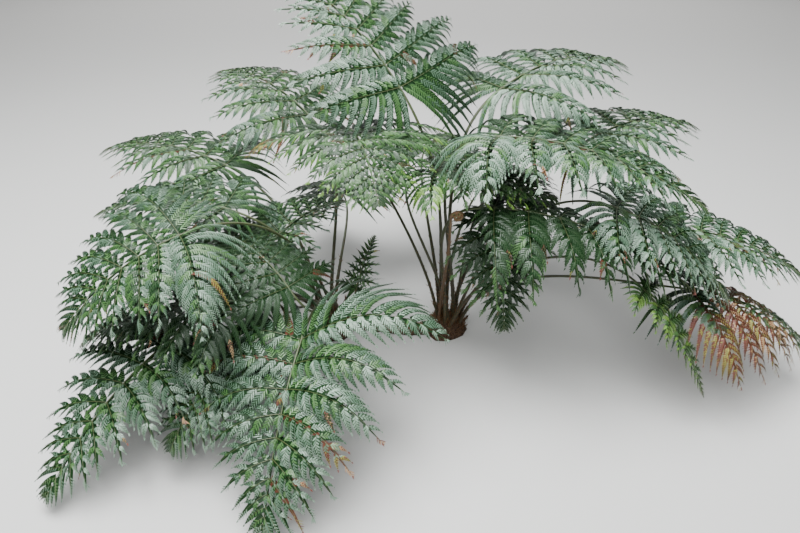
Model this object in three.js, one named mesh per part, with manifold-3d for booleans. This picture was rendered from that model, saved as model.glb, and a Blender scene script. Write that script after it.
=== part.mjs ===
// A shield fern: one clump of broad triangular fronds on long stalks, from a creeping rootstock.
// Millimetres and degrees, +Z up. The origin is the middle of the rootstock's flat underside, and
// the fern's best side faces -Y. A heading is the turn from +X towards +Y.
import * as THREE from 'three';
import { mergeVertices } from 'three/addons/utils/BufferGeometryUtils.js';
import Module from 'manifold-3d';

const wasm = await Module();
wasm.setup();

// Rootstock: two crowns joined by a creeping stem that lies half sunk in the ground
const CROWN_SPACING = 380;
const CROWN_RADIUS = 60;
const CROWN_HEIGHT = 62;
const CROWN_SIDES = 12;
const CROWN_LOBES = 3;
const CROWN_LOBE_DEPTH = 0.09;
const CREEPER_TIP = 0.45;
const CREEPER_TAPER = 6;
const CREEPER_RADIUS = 24;
const CREEPER_SWAY = 14;
const CREEPER_OVERRUN = 62;
const CREEPER_HEIGHT = 9;
const CREEPER_STEPS = 11;
const CREEPER_SIDES = 8;
const BELOW_GROUND = 30;

// A crown's outline in shares of its radius and height, from the ground up
const CROWN_PROFILE = [[1.12, 0.06], [1, 0.34], [0.82, 0.7], [0.45, 0.92], [0, 1]];

// Broken stumps of old stalks round each crown
const STUMPS = 3;
const STUMP_RADIUS = 4.6;
const STUMP_LENGTH = 62;
const STUMP_VARY = 0.3;
const STUMP_LEAN = 38;
const STUMP_RING = 42;
const STUMP_FOOT_HEIGHT = 18;

// Stalks
const STALK_FOOT_RADIUS = 6.2;
const STALK_TOP_RADIUS = 3.6;
const STALK_RING = 54;
const STALK_RING_DROP = 0.042;
const STALK_FOOT_HEIGHT = 24;
const STALK_SIDES = 5;
const STALK_STEPS = 7;
const STALK_LEAN = 0.12;
const STALK_RISE = 0.42;
const STALK_ARRIVAL = 0.35;
const JOINT_GAP = 0.3;
const COMMON_LENGTH = 500;

// Crozier: a young frond still rolled up at the end of its stalk
const CROZIER_CROWN = 'right';
const CROZIER_FOOT = -139;
const CROZIER_HEIGHT = 530;
const CROZIER_FORWARD = 220;
const CROZIER_COIL_RADIUS = 17;
const CROZIER_TURNS = 1.6;
const CROZIER_TURN_SPACING = 8.4;
const CROZIER_STEM_RADIUS = 4.4;
const CROZIER_TIP_RADIUS = 1.8;
const CROZIER_STEPS = 36;
const CROZIER_STALK_POINTS = 6;
const CROZIER_TURN_POINTS = 10;

// Blades: leaflets stand in pairs on the rib, and the larger ones are cut into teeth in their turn
const LEAFLET_PAIRS = 12;
const FIRST_PAIR = 0.035;
const LAST_PAIR = 0.97;
const TEETH_BY_PAIR = [5, 4, 3, 2, 1];
const BASE_ANGLE = 92;
const TIP_ANGLE = 44;
const ANGLE_SPREAD = 0.17;
const TAPER_POWER = 0.75;
const FORWARD_CURVE = 0.35;
const TOOTH_ANGLE = 40;
const TOOTH_ANGLE_TIP = 30;
const TOOTH_PLACE = 0.35;
const INNER_TOOTH = 0.42;
const INNER_TAPER_POWER = 0.8;
const OUTER_TOOTH = 0.68;
const OUTER_TAPER_POWER = 0.9;
const TOOTH_FILL = 0.7;
const TOOTH_SAG = 0.35;
const RIB_STEPS = 24;
const RIB_HALF_WIDTH = 4.2;
const LEAFLET_HALF_WIDTH = 2.6;
const TIP_HALF_WIDTH = 0.9;
const THICKNESS_SHARE = 0.011;
const RIB_THICKENING = 1.35;
const TIP_THINNING = 0.35;
const VARY_LENGTH = 0.07;
const VARY_ANGLE = 4;
const LITTER_HEIGHT = 6;
const LITTER_SOFTNESS = 24;

// A leaflet that would come this close to another frond or a stalk ends short of it
const CLEARANCE = 0.6;
const SHORTENINGS = [1, 0.86, 0.72, 0.58, 0.44];

const LEAF_COLOUR = 0x5f7f66;
const STALK_COLOUR = 0x5a4a2c;
const ROOTSTOCK_COLOUR = 0x3f2a1c;
const CROZIER_COLOUR = 0x6a4a2a;

// One entry a frond: the crown and the side of it that carries the stalk, where the blade starts,
// its heading, rise and droop, and its size. breadth is the lowest leaflet's length over the
// blade's, near_trim and far_trim shorten the leaflets on one side, and outer is the share of their
// length that the teeth below the lowest leaflets have.
const FRONDS = {
  front: {
    crown: 'left', foot: -40, base: [-213, -439, 300], heading: -99, pitch: -13, bend: 45,
    length: 494, breadth: 0.83, lift: 0.5, hang: 0.42, roll: -10, open: 102, near_trim: 0.76,
  },
  left_upper: {
    crown: 'left', foot: -57, base: [-495, -365, 555], heading: -148, pitch: -9, bend: 40,
    length: 372, breadth: 0.86, lift: 0.25, hang: 0.4, roll: 14,
  },
  left_high: {
    crown: 'left', foot: -166, base: [-440, -150, 520], heading: 172, pitch: 16, bend: 45,
    length: 430, breadth: 0.7, lift: 0.25, hang: 0.35, near_trim: 0.9, far_trim: 0.7,
  },
  left_low: {
    crown: 'left', foot: 160, base: [-580, -402, 250], heading: -123, pitch: -8, bend: 40,
    length: 472, breadth: 0.62, lift: 0.2, hang: 0.4,
  },
  left_under: {
    crown: 'left', foot: -72, base: [-405, -350, 345], heading: -174, pitch: 8, bend: 45,
    length: 440, breadth: 0.66, lift: 0.2, hang: 0.4,
  },
  left_inner: {
    crown: 'left', foot: -124, base: [-386, -458, 250], heading: -128, pitch: -12, bend: 45,
    length: 290, breadth: 0.8, hang: 0.4,
  },
  left_middle: {
    crown: 'left', foot: -142, base: [-350, -150, 400], heading: 48, pitch: 30, bend: 45,
    length: 330, breadth: 0.8, lift: 0.2, hang: 0.4, near_trim: 0.7,
  },
  middle: {
    crown: 'left', foot: -103, base: [-255, -335, 370], heading: 137, pitch: 38, bend: 50,
    length: 320, breadth: 0.7, hang: 0.3, near_trim: 0.9,
  },
  small: {
    crown: 'left', foot: -2, base: [-109, 0, 160], heading: 53, pitch: 67, bend: 20, length: 192,
    breadth: 0.5,
  },
  centre: {
    crown: 'right', foot: 175, base: [-100, -40, 715], heading: -75, pitch: 10, bend: 50,
    length: 360, breadth: 0.9, lift: 0.1, hang: 0.3,
  },
  tall: {
    crown: 'right', foot: -146, base: [44, 20, 800], heading: 143, pitch: 50, bend: 30,
    length: 500, breadth: 0.7, lift: 0.1, hang: 0.25, roll: 8, near_trim: 1.3,
  },
  right_upper: {
    crown: 'right', foot: -12, base: [290, -75, 705], heading: -22, pitch: 8, bend: 40,
    length: 600, breadth: 0.62, lift: 0.2, far_trim: 0.85,
  },
  right_inner: {
    crown: 'right', foot: -69, base: [130, -110, 620], heading: -14, pitch: 4, bend: 25,
    length: 350, breadth: 0.7,
  },
  right_low: {
    crown: 'right', foot: -101, base: [268, -215, 555], heading: -15, pitch: 5, bend: 45,
    length: 599, breadth: 0.55, lift: 0.0, hang: 1.2, outer: 0.2,
  },
  shaded: {
    crown: 'right', foot: 29, base: [300, -80, 475], heading: -81, pitch: -30, bend: 45,
    length: 356, breadth: 0.62,
  },
  right_far: {
    crown: 'right', foot: -42, base: [618, -171, 540], heading: -26, pitch: -9, bend: 45,
    length: 410, breadth: 0.72,
  },
  right_edge: {
    crown: 'right', foot: 7, base: [860, -60, 415], heading: -14, pitch: 4, bend: 40, length: 400,
    breadth: 0.7, near_trim: 1.1,
  },
  hanging: {
    crown: 'right', foot: -79, base: [682, -319, 370], heading: -38, pitch: -33, bend: 35,
    length: 354, breadth: 0.34,
  },
  dying: {
    crown: 'right', foot: -19, base: [870, -190, 285], heading: -12, pitch: 0, bend: 42,
    length: 400, breadth: 0.6, lift: 0.0, hang: 0.85, open: 78, near_trim: 1.45,
  },
  back_right: {
    crown: 'right', foot: 90, base: [345, 250, 745], heading: 36, pitch: 24, bend: 45, length: 600,
    breadth: 0.66,
  },
  back_far_right: {
    crown: 'right', foot: 58, base: [610, 220, 570], heading: 30, pitch: 22, bend: 45, length: 560,
    breadth: 0.64,
  },
  back_far_left: {
    crown: 'left', foot: 142, base: [-537, 253, 490], heading: 158, pitch: 20, bend: 40,
    length: 540, breadth: 0.66,
  },
  back_left: {
    crown: 'left', foot: 103, base: [-260, 320, 640], heading: 138, pitch: 30, bend: 40,
    length: 500, breadth: 0.7,
  },
  back_centre: {
    crown: 'right', foot: 125, base: [120, 420, 480], heading: 80, pitch: 10, bend: 50,
    length: 480, breadth: 0.62,
  },
  back_low: {
    crown: 'left', foot: 86, base: [-170, 380, 330], heading: 108, pitch: 5, bend: 50, length: 430,
    breadth: 0.62,
  },
  back_middle: {
    crown: 'right', foot: 100, base: [330, 320, 390], heading: 55, pitch: 12, bend: 50,
    length: 460, breadth: 0.64,
  },
  back_low_left: {
    crown: 'left', foot: 116, base: [-500, 170, 240], heading: 155, pitch: 14, bend: 50,
    length: 430, breadth: 0.64,
  },
};

const CROWNS = {
  left: new THREE.Vector3(-CROWN_SPACING / 2, 0, 0),
  right: new THREE.Vector3(CROWN_SPACING / 2, 0, 0),
};
const DEGREE = Math.PI / 180;
const OPEN = 'open';
const DOWN = new THREE.Vector3(0, 0, -1);
const NAMES = Object.keys(FRONDS);

function mix(a, b, t) {
  return a + (b - a) * t;
}

// A fixed number from -1 to 1 for each frond, pair and side, so that no two leaflets are alike
function vary(name, k, hand) {
  const wave = Math.sin(NAMES.indexOf(name) * 12.9898 + k * 78.233 + hand * 37.719) * 43758.5453;
  return (wave - Math.floor(wave)) * 2 - 1;
}

// Keeps a point of a leaf above the litter that it comes to rest on
function settle(point) {
  const height = point.z - LITTER_HEIGHT;
  point.setZ(LITTER_HEIGHT + (height + Math.hypot(height, LITTER_SOFTNESS)) / 2);
  return point;
}

// Solids

function toSolid(points, faces) {
  const vertProperties = new Float32Array(points.length * 3);
  points.forEach((point, i) => point.toArray(vertProperties, i * 3));
  const triVerts = new Uint32Array(faces.flat());
  const solid = new wasm.Manifold(new wasm.Mesh({ numProp: 3, vertProperties, triVerts }));
  if (solid.volume() > 0) return solid;
  return toSolid(points, faces.map(([a, b, c]) => [a, c, b]));
}

function geometryToSolid(source) {
  source.deleteAttribute('normal');
  source.deleteAttribute('uv');
  const { index, attributes } = mergeVertices(source, 0.001);
  const points = [];
  for (let i = 0; i < attributes.position.count; i += 1) {
    points.push(new THREE.Vector3().fromBufferAttribute(attributes.position, i));
  }
  const faces = [];
  for (let i = 0; i < index.count; i += 3) {
    const face = [index.getX(i), index.getX(i + 1), index.getX(i + 2)];
    if (new Set(face).size === 3) faces.push(face);
  }
  return toSolid(points, faces);
}

function toMesh(name, solid, colour, roughness) {
  const { vertProperties, triVerts } = solid.getMesh();
  const geometry = new THREE.BufferGeometry();
  geometry.setAttribute('position', new THREE.BufferAttribute(vertProperties, 3));
  geometry.setIndex(new THREE.BufferAttribute(triVerts, 1));
  geometry.computeVertexNormals();
  const material = new THREE.MeshStandardMaterial({ color: colour, roughness, metalness: 0 });
  const mesh = new THREE.Mesh(geometry, material);
  mesh.name = name;
  return mesh;
}

// A round tapering limb along a curve
function limb(curve, steps, sides, radiusAt) {
  const { normals, binormals } = curve.computeFrenetFrames(steps, false);
  const points = [];
  for (let j = 0; j <= steps; j += 1) {
    const centre = curve.getPointAt(j / steps);
    for (let i = 0; i < sides; i += 1) {
      const turn = (i / sides) * Math.PI * 2;
      const spoke = normals[j].clone().multiplyScalar(Math.cos(turn));
      spoke.addScaledVector(binormals[j], Math.sin(turn));
      points.push(centre.clone().addScaledVector(spoke, radiusAt(j / steps)));
    }
  }
  const faces = [];
  for (let j = 0; j < steps; j += 1) {
    for (let i = 0; i < sides; i += 1) {
      const a = j * sides + i;
      const b = j * sides + ((i + 1) % sides);
      faces.push([a, b, b + sides], [a, b + sides, a + sides]);
    }
  }
  const last = steps * sides;
  for (let i = 1; i < sides - 1; i += 1) {
    faces.push([0, i + 1, i], [last, last + i, last + i + 1]);
  }
  return toSolid(points, faces);
}

// A thin strip grows ring by ring. A ring is its top left, top right, bottom right and bottom left
// corner at a station of its rib, which holds { point, side, up }.
function addRing(body, { point, side, up }, half, thick) {
  return [[1, 1], [-1, 1], [-1, -1], [1, -1]].map(([across, rise]) => {
    const corner = point.clone().addScaledVector(side, across * half);
    return body.points.push(corner.addScaledVector(up, (rise * thick) / 2)) - 1;
  });
}

// Closes four corners flat, or draws them out to a tip
function addSide(body, corners, tip) {
  if (tip) {
    const end = body.points.push(tip) - 1;
    corners.forEach((corner, i) => body.faces.push([corner, corners[(i + 1) % 4], end]));
  } else {
    const [a, b, c, d] = corners;
    body.faces.push([a, b, c], [a, c, d]);
  }
}

// The span between two rings. It stays open on a side where a leaflet is to grow from it.
function addSpan(body, a, b, left, right) {
  addSide(body, [a[0], a[1], b[1], b[0]]);
  addSide(body, [a[3], b[3], b[2], a[2]]);
  if (left !== OPEN) addSide(body, [a[3], a[0], b[0], b[3]], left);
  if (right !== OPEN) addSide(body, [a[1], a[2], b[2], b[1]], right);
}

// Rootstock

function crownSolid(centre, grow) {
  const profile = CROWN_PROFILE.map(([wide, high]) => (
    new THREE.Vector2(wide * (CROWN_RADIUS + grow), high * CROWN_HEIGHT + grow)
  ));
  const buried = profile[0].clone().setY(-BELOW_GROUND);
  const shape = new THREE.LatheGeometry([buried.clone().setX(0), buried, ...profile], CROWN_SIDES);
  shape.rotateX(Math.PI / 2);
  const place = shape.attributes.position;
  for (let i = 0; i < place.count; i += 1) {
    const turn = Math.atan2(place.getY(i), place.getX(i));
    const lobe = 1 + CROWN_LOBE_DEPTH * Math.sin(CROWN_LOBES * turn + centre.x);
    place.setX(i, place.getX(i) * lobe);
    place.setY(i, place.getY(i) * lobe);
  }
  shape.translate(centre.x, centre.y, 0);
  return geometryToSolid(shape);
}

function creeperCurve() {
  const half = CROWN_SPACING / 2;
  const end = half + CREEPER_OVERRUN;
  const at = (x, y, height) => new THREE.Vector3(x, y * CREEPER_SWAY, CREEPER_HEIGHT * height);
  return new THREE.CatmullRomCurve3([
    at(-end, 1.2, 0.7), at(-half, 0, 1.3), at(-half * 0.4, 1, 1), at(0, 0, 0.9),
    at(half * 0.4, -1, 1), at(half, 0, 1.3), at(end, -1, 0.7),
  ]);
}

function rootstockSolid(grow) {
  const creeper = limb(creeperCurve(), CREEPER_STEPS, CREEPER_SIDES, (t) => (
    CREEPER_RADIUS * Math.min(1, CREEPER_TIP + CREEPER_TAPER * Math.min(t, 1 - t)) + grow
  ));
  const crowns = Object.values(CROWNS).map((centre) => crownSolid(centre, grow));
  const ground = new THREE.BoxGeometry(4 * CROWN_SPACING, CROWN_SPACING, 4 * BELOW_GROUND);
  ground.translate(0, 0, -2 * BELOW_GROUND);
  return crowns.reduce((whole, crown) => whole.add(crown), creeper).subtract(geometryToSolid(ground));
}

// Stumps stand between the stalks' feet, further out and leaning away
function stumpSolids() {
  const stumps = [];
  for (const centre of Object.values(CROWNS)) {
    for (let i = 0; i < STUMPS; i += 1) {
      const turn = ((i + 0.25) / STUMPS) * Math.PI * 2 + centre.x;
      const out = new THREE.Vector3(Math.cos(turn), Math.sin(turn), 0);
      const start = centre.clone().addScaledVector(out, STUMP_RING).setZ(STUMP_FOOT_HEIGHT);
      const length = STUMP_LENGTH * (1 + STUMP_VARY * Math.sin(7 * turn));
      const end = start.clone().addScaledVector(out, length * Math.sin(STUMP_LEAN * DEGREE));
      end.addScaledVector(DOWN, -length * Math.cos(STUMP_LEAN * DEGREE));
      stumps.push(limb(new THREE.LineCurve3(start, end), 1, STALK_SIDES, () => STUMP_RADIUS));
    }
  }
  return stumps;
}

// Stalks

// The lower a stalk ends, the further out in the crown it starts
function stalkCurve(crown, foot, end, arrival) {
  const out = new THREE.Vector3(Math.cos(foot * DEGREE), Math.sin(foot * DEGREE), 0);
  const ring = STALK_RING - STALK_RING_DROP * end.z;
  const start = CROWNS[crown].clone().addScaledVector(out, ring).setZ(STALK_FOOT_HEIGHT);
  const reach = start.distanceTo(end);
  const lean = end.clone().sub(start).setZ(0).multiplyScalar(STALK_LEAN);
  const risen = start.clone().add(lean).addScaledVector(DOWN, -STALK_RISE * reach);
  const arrive = end.clone().addScaledVector(arrival, -STALK_ARRIVAL * reach);
  return new THREE.CubicBezierCurve3(start, risen, arrive, end);
}

function stalkSolid(frond) {
  const [{ point, along }] = ribOf(frond);
  const end = point.clone().addScaledVector(along, -JOINT_GAP);
  const curve = stalkCurve(frond.crown, frond.foot, end, along);
  const size = Math.sqrt(frond.length / COMMON_LENGTH);
  return limb(curve, STALK_STEPS, STALK_SIDES, (t) => (
    mix(STALK_FOOT_RADIUS, STALK_TOP_RADIUS, t) * size
  ));
}

function crozierSolid() {
  const centre = CROWNS[CROZIER_CROWN].clone().setY(-CROZIER_FORWARD).setZ(CROZIER_HEIGHT);
  const rim = centre.clone().setX(centre.x - CROZIER_COIL_RADIUS);
  const up = DOWN.clone().negate();
  const stalk = stalkCurve(CROZIER_CROWN, CROZIER_FOOT, rim, up);
  const points = stalk.getPoints(CROZIER_STALK_POINTS);
  const coilSteps = Math.round(CROZIER_TURNS * CROZIER_TURN_POINTS);
  for (let i = 1; i <= coilSteps; i += 1) {
    const turns = (i / coilSteps) * CROZIER_TURNS;
    const radius = CROZIER_COIL_RADIUS - CROZIER_TURN_SPACING * turns;
    const angle = turns * Math.PI * 2;
    points.push(centre.clone().add(new THREE.Vector3(
      -radius * Math.cos(angle),
      0,
      radius * Math.sin(angle),
    )));
  }
  return limb(new THREE.CatmullRomCurve3(points), CROZIER_STEPS, STALK_SIDES, (t) => (
    mix(CROZIER_STEM_RADIUS, CROZIER_TIP_RADIUS, t * t)
  ));
}

// Blades

function leafFrame(heading, rise, roll) {
  const flat = new THREE.Vector3(Math.sin(heading), -Math.cos(heading), 0);
  const along = new THREE.Vector3(Math.cos(heading), Math.sin(heading), 0);
  along.multiplyScalar(Math.cos(rise)).addScaledVector(DOWN, -Math.sin(rise));
  const lift = new THREE.Vector3().crossVectors(flat, along);
  const side = flat.clone().multiplyScalar(Math.cos(roll)).addScaledVector(lift, Math.sin(roll));
  const up = lift.clone().multiplyScalar(Math.cos(roll)).addScaledVector(flat, -Math.sin(roll));
  return { along, side, up };
}

// The blade's rib: stations from its base to its tip, arching down
function ribOf(frond) {
  const frameAt = (t) => leafFrame(
    frond.heading * DEGREE,
    (frond.pitch - frond.bend * t) * DEGREE,
    (frond.roll ?? 0) * (1 - t / 2) * DEGREE,
  );
  const rib = [];
  const point = new THREE.Vector3(...frond.base);
  for (let j = 0; j <= RIB_STEPS; j += 1) {
    rib.push({ point: settle(point.clone()), ...frameAt(j / RIB_STEPS) });
    point.addScaledVector(frameAt((j + 0.5) / RIB_STEPS).along, frond.length / RIB_STEPS);
  }
  return rib;
}

function stationAt(rib, t) {
  const x = Math.min(t, 1) * (rib.length - 1);
  const j = Math.min(Math.floor(x), rib.length - 2);
  const blend = (key) => rib[j][key].clone().lerp(rib[j + 1][key], x - j);
  return {
    point: blend('point'),
    along: blend('along').normalize(),
    side: blend('side').normalize(),
    up: blend('up').normalize(),
  };
}

function pairStation(k) {
  return mix(FIRST_PAIR, LAST_PAIR, 1 - (1 - k / LEAFLET_PAIRS) ** 2);
}

function leafletLength(name, k, hand) {
  const { length, breadth, near_trim: near = 1, far_trim: far = 1 } = FRONDS[name];
  const taper = (1 - pairStation(k)) ** TAPER_POWER;
  return length * breadth * taper * (hand > 0 ? near : far) * (1 + VARY_LENGTH * vary(name, k, hand));
}

// A leaflet's own rib: it leaves the frond's rib, lifts, curves forward and hangs at its tip
function leafletRib(name, k, hand, steps) {
  const { lift = 0.15, hang = 0.35, open = BASE_ANGLE } = FRONDS[name];
  const station = stationAt(ribOf(FRONDS[name]), pairStation(k));
  const angle = mix(open, TIP_ANGLE, pairStation(k)) + VARY_ANGLE * vary(name, k, 2 * hand);
  const length = leafletLength(name, k, hand);
  const alongAt = (u) => new THREE.Vector3()
    .addScaledVector(station.along, Math.cos(angle * DEGREE) + FORWARD_CURVE * u)
    .addScaledVector(station.side, hand * Math.sin(angle * DEGREE))
    .addScaledVector(station.up, lift * (1 - u))
    .addScaledVector(DOWN, 2 * hang * u * u)
    .normalize();
  const point = station.point.clone();
  const rib = [];
  for (let j = 0; j <= steps; j += 1) {
    const along = alongAt(j / steps);
    const up = station.up.clone().addScaledVector(along, -station.up.dot(along)).normalize();
    const side = new THREE.Vector3().crossVectors(up, along).multiplyScalar(hand);
    rib.push({ point: settle(point.clone()), along, side, up });
    point.addScaledVector(alongAt((j + 0.5) / steps), length / steps);
  }
  return rib;
}

// Length of a tooth at u along a leaflet, where way is 1 towards the frond's tip and else -1. The
// lowest leaflets have long teeth on their outer side, and the rest fill the gap to the next.
function toothLength(name, k, hand, u, way) {
  const length = leafletLength(name, k, hand);
  if (way < 0 && k === 0) {
    return (FRONDS[name].outer ?? OUTER_TOOTH) * length * (1 - u) ** OUTER_TAPER_POWER;
  }
  const gap = FRONDS[name].length * (pairStation(k + 1) - pairStation(k));
  const room = TOOTH_FILL * (gap + ANGLE_SPREAD * u * length);
  return Math.min(INNER_TOOTH * length * (1 - u) ** INNER_TAPER_POWER, room);
}

function toothTip(rib, u, way, length) {
  const { point, along, side } = stationAt(rib, u);
  const angle = mix(TOOTH_ANGLE, TOOTH_ANGLE_TIP, u) * DEGREE;
  const reach = along.clone().multiplyScalar(Math.cos(angle));
  reach.addScaledVector(side, way * Math.sin(angle));
  reach.addScaledVector(DOWN, Math.min(TOOTH_SAG, length / COMMON_LENGTH));
  return settle(point.addScaledVector(reach.normalize(), length));
}

// Grows a leaflet with teeth from a ring. share cuts it short, and margin swells it.
function growLeaflet(body, from, { name, k, hand }, share, margin) {
  const count = TEETH_BY_PAIR[k];
  const line = leafletRib(name, k, hand, 3 * count);
  const thick = FRONDS[name].length * THICKNESS_SHARE;
  const half = (t) => mix(LEAFLET_HALF_WIDTH, TIP_HALF_WIDTH, t) + margin;
  const thickness = (t) => thick * mix(1, TIP_THINNING, t) + 2 * margin;
  const ringAt = (t) => {
    const { point, side, up } = stationAt(line, t * share);
    return addRing(body, { point, side: side.multiplyScalar(-hand), up }, half(t), thickness(t));
  };
  let last = from;
  if (!last) {
    last = ringAt(0);
    addSide(body, [...last].reverse());
  }
  for (let j = 0; j < count; j += 1) {
    const u = (j + TOOTH_PLACE) / count;
    const [left, right] = [-hand, hand].map((way) => (
      toothTip(line, u * share, way, toothLength(name, k, hand, u, way) * share)
    ));
    const next = ringAt((j + 1) / count);
    addSpan(body, last, next, left, right);
    last = next;
  }
  addSide(body, last);
}

function leafletSolid(leaflet, share, margin) {
  const body = { points: [], faces: [] };
  growLeaflet(body, null, leaflet, share, margin);
  return toSolid(body.points, body.faces);
}

// Grows a blade: its rib, the small uncut leaflets towards its tip as teeth, and a cut leaflet
// from each side of the rib where shareOf gives it a share of its length
function bladeSolid(name, margin, shareOf) {
  const frond = FRONDS[name];
  const rib = ribOf(frond);
  const thick = frond.length * THICKNESS_SHARE * RIB_THICKENING;
  const body = { points: [], faces: [] };
  const ringAt = (t) => addRing(
    body,
    stationAt(rib, t),
    mix(RIB_HALF_WIDTH, TIP_HALF_WIDTH, t) + margin,
    thick * mix(1, TIP_THINNING, t) + 2 * margin,
  );
  let last = ringAt(0);
  addSide(body, [...last].reverse());
  const advance = (t, left, right) => {
    const next = ringAt(t);
    addSpan(body, last, next, left, right);
    const before = last;
    last = next;
    return { before, next };
  };
  const joint = LEAFLET_HALF_WIDTH / frond.length;
  for (let k = 0; k < TEETH_BY_PAIR.length; k += 1) {
    const shares = [1, -1].map((hand) => shareOf({ name, k, hand }));
    const [left, right] = shares.map((share) => (share ? OPEN : null));
    advance(pairStation(k) - joint);
    const { before, next } = advance(pairStation(k) + joint, left, right);
    const roots = [
      [before[0], next[0], next[3], before[3]],
      [next[1], before[1], before[2], next[2]],
    ];
    shares.forEach((share, i) => {
      if (share) growLeaflet(body, roots[i], { name, k, hand: 1 - 2 * i }, share, margin);
    });
  }
  advance(pairStation(TEETH_BY_PAIR.length));
  for (let k = TEETH_BY_PAIR.length; k < LEAFLET_PAIRS; k += 1) {
    const [left, right] = [1, -1].map((hand) => leafletRib(name, k, hand, 6).at(-1).point);
    advance(k + 1 === LEAFLET_PAIRS ? 1 : pairStation(k + 1), left, right);
  }
  addSide(body, last);
  return toSolid(body.points, body.faces);
}

// Assembly

const fern = new THREE.Group();
const rootstock = stumpSolids().reduce((whole, stump) => whole.add(stump), rootstockSolid(0));
fern.add(toMesh('rootstock', rootstock, ROOTSTOCK_COLOUR, 0.9));

const rootstockRoom = rootstockSolid(JOINT_GAP);
const placed = [{ owner: 'rootstock', solid: rootstock }];
for (const name of NAMES) {
  const solid = stalkSolid(FRONDS[name]).subtract(rootstockRoom);
  placed.push({ owner: 'stalks', solid });
  fern.add(toMesh(`stalk_${name}`, solid, STALK_COLOUR, 0.6));
}
const crozier = crozierSolid().subtract(rootstockRoom);
placed.push({ owner: 'crozier', solid: crozier });
fern.add(toMesh('crozier', crozier, CROZIER_COLOUR, 0.7));
const none = () => 0;
for (const name of NAMES) {
  placed.push({ owner: `rib_${name}`, solid: bladeSolid(name, 0, none) });
}

// A leaflet's share of its length that keeps it clear of everything but the rib that it grows from
// and the leaflets on the rib's other side
function roomFor(leaflet) {
  const own = [`rib_${leaflet.name}`, `${leaflet.name} ${-leaflet.hand}`];
  const others = placed.filter(({ owner }) => !own.includes(owner));
  return SHORTENINGS.find((share) => {
    const swollen = leafletSolid(leaflet, share, CLEARANCE);
    return others.every(({ solid }) => solid.intersect(swollen).isEmpty());
  });
}

const shares = new Map();
for (const name of NAMES) {
  for (let k = 0; k < TEETH_BY_PAIR.length; k += 1) {
    for (const hand of [1, -1]) {
      const leaflet = { name, k, hand };
      const share = roomFor(leaflet);
      if (share) placed.push({ owner: `${name} ${hand}`, solid: leafletSolid(leaflet, share, 0) });
      shares.set(`${name} ${k} ${hand}`, share);
    }
  }
}
for (const name of NAMES) {
  const blade = bladeSolid(name, 0, ({ k, hand }) => shares.get(`${name} ${k} ${hand}`));
  fern.add(toMesh(`frond_${name}`, blade, LEAF_COLOUR, 0.45));
}

export default fern;
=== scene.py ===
"""Shield fern: one clump of leathery, three times divided fronds on scaly stalks, from a creeping
rootstock. The frame holds each frond as a coarse blade. Here the same growth rule is carried on to
leaflets, strips and toothed segments, and the stalks, crozier and rootstock get their finish."""
import math
from typing import NamedTuple

import bmesh
import bpy
import numpy as np
from mathutils import Euler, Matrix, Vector, noise


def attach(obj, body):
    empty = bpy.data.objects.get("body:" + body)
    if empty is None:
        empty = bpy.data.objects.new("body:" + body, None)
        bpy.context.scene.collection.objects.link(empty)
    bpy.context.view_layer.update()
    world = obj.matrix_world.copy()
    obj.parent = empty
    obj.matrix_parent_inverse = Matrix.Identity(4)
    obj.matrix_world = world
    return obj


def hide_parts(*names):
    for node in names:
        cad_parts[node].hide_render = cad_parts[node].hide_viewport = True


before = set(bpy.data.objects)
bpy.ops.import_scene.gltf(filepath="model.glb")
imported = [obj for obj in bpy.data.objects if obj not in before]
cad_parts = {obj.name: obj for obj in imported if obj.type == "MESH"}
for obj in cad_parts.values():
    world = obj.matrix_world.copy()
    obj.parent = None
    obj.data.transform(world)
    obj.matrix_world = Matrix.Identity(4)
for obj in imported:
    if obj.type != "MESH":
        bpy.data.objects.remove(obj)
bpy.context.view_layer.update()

# Everything below is in metres, and the table of fronds in millimetres and degrees
MM = 0.001
DOWN = np.array([0.0, 0.0, -1.0])

# Camera and floor
CAMERA_PLACE = (0.036, -1.733, 1.25)
CAMERA_TILT = 60
CAMERA_LENS = 28
CAMERA_SENSOR = 36
FLOOR_REACH = 20

# Rootstock, stalks and crozier, with the same sizes as their solids
CROWNS = {"left": np.array([-0.190, 0.0, 0.0]), "right": np.array([0.190, 0.0, 0.0])}
STALK_FOOT_RADIUS = 6.2 * MM
STALK_TOP_RADIUS = 3.6 * MM
STALK_RING = 54 * MM
STALK_RING_DROP = 0.042
STALK_FOOT_HEIGHT = 24 * MM
STALK_LEAN = 0.12
STALK_RISE = 0.42
STALK_ARRIVAL = 0.35
COMMON_LENGTH = 500 * MM
CROZIER_CROWN = "right"
CROZIER_FOOT = -139
CROZIER_HEIGHT = 530 * MM
CROZIER_FORWARD = 220 * MM
CROZIER_CENTRE = CROWNS[CROZIER_CROWN] + np.array([0.0, -CROZIER_FORWARD, CROZIER_HEIGHT])
CROZIER_COIL_RADIUS = 17 * MM
CROZIER_TURNS = 1.6
CROZIER_TURN_SPACING = 8.4 * MM
CROZIER_STEM_RADIUS = 4.4 * MM
CROZIER_TIP_RADIUS = 1.8 * MM
CROZIER_COIL_STEPS = 60

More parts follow.
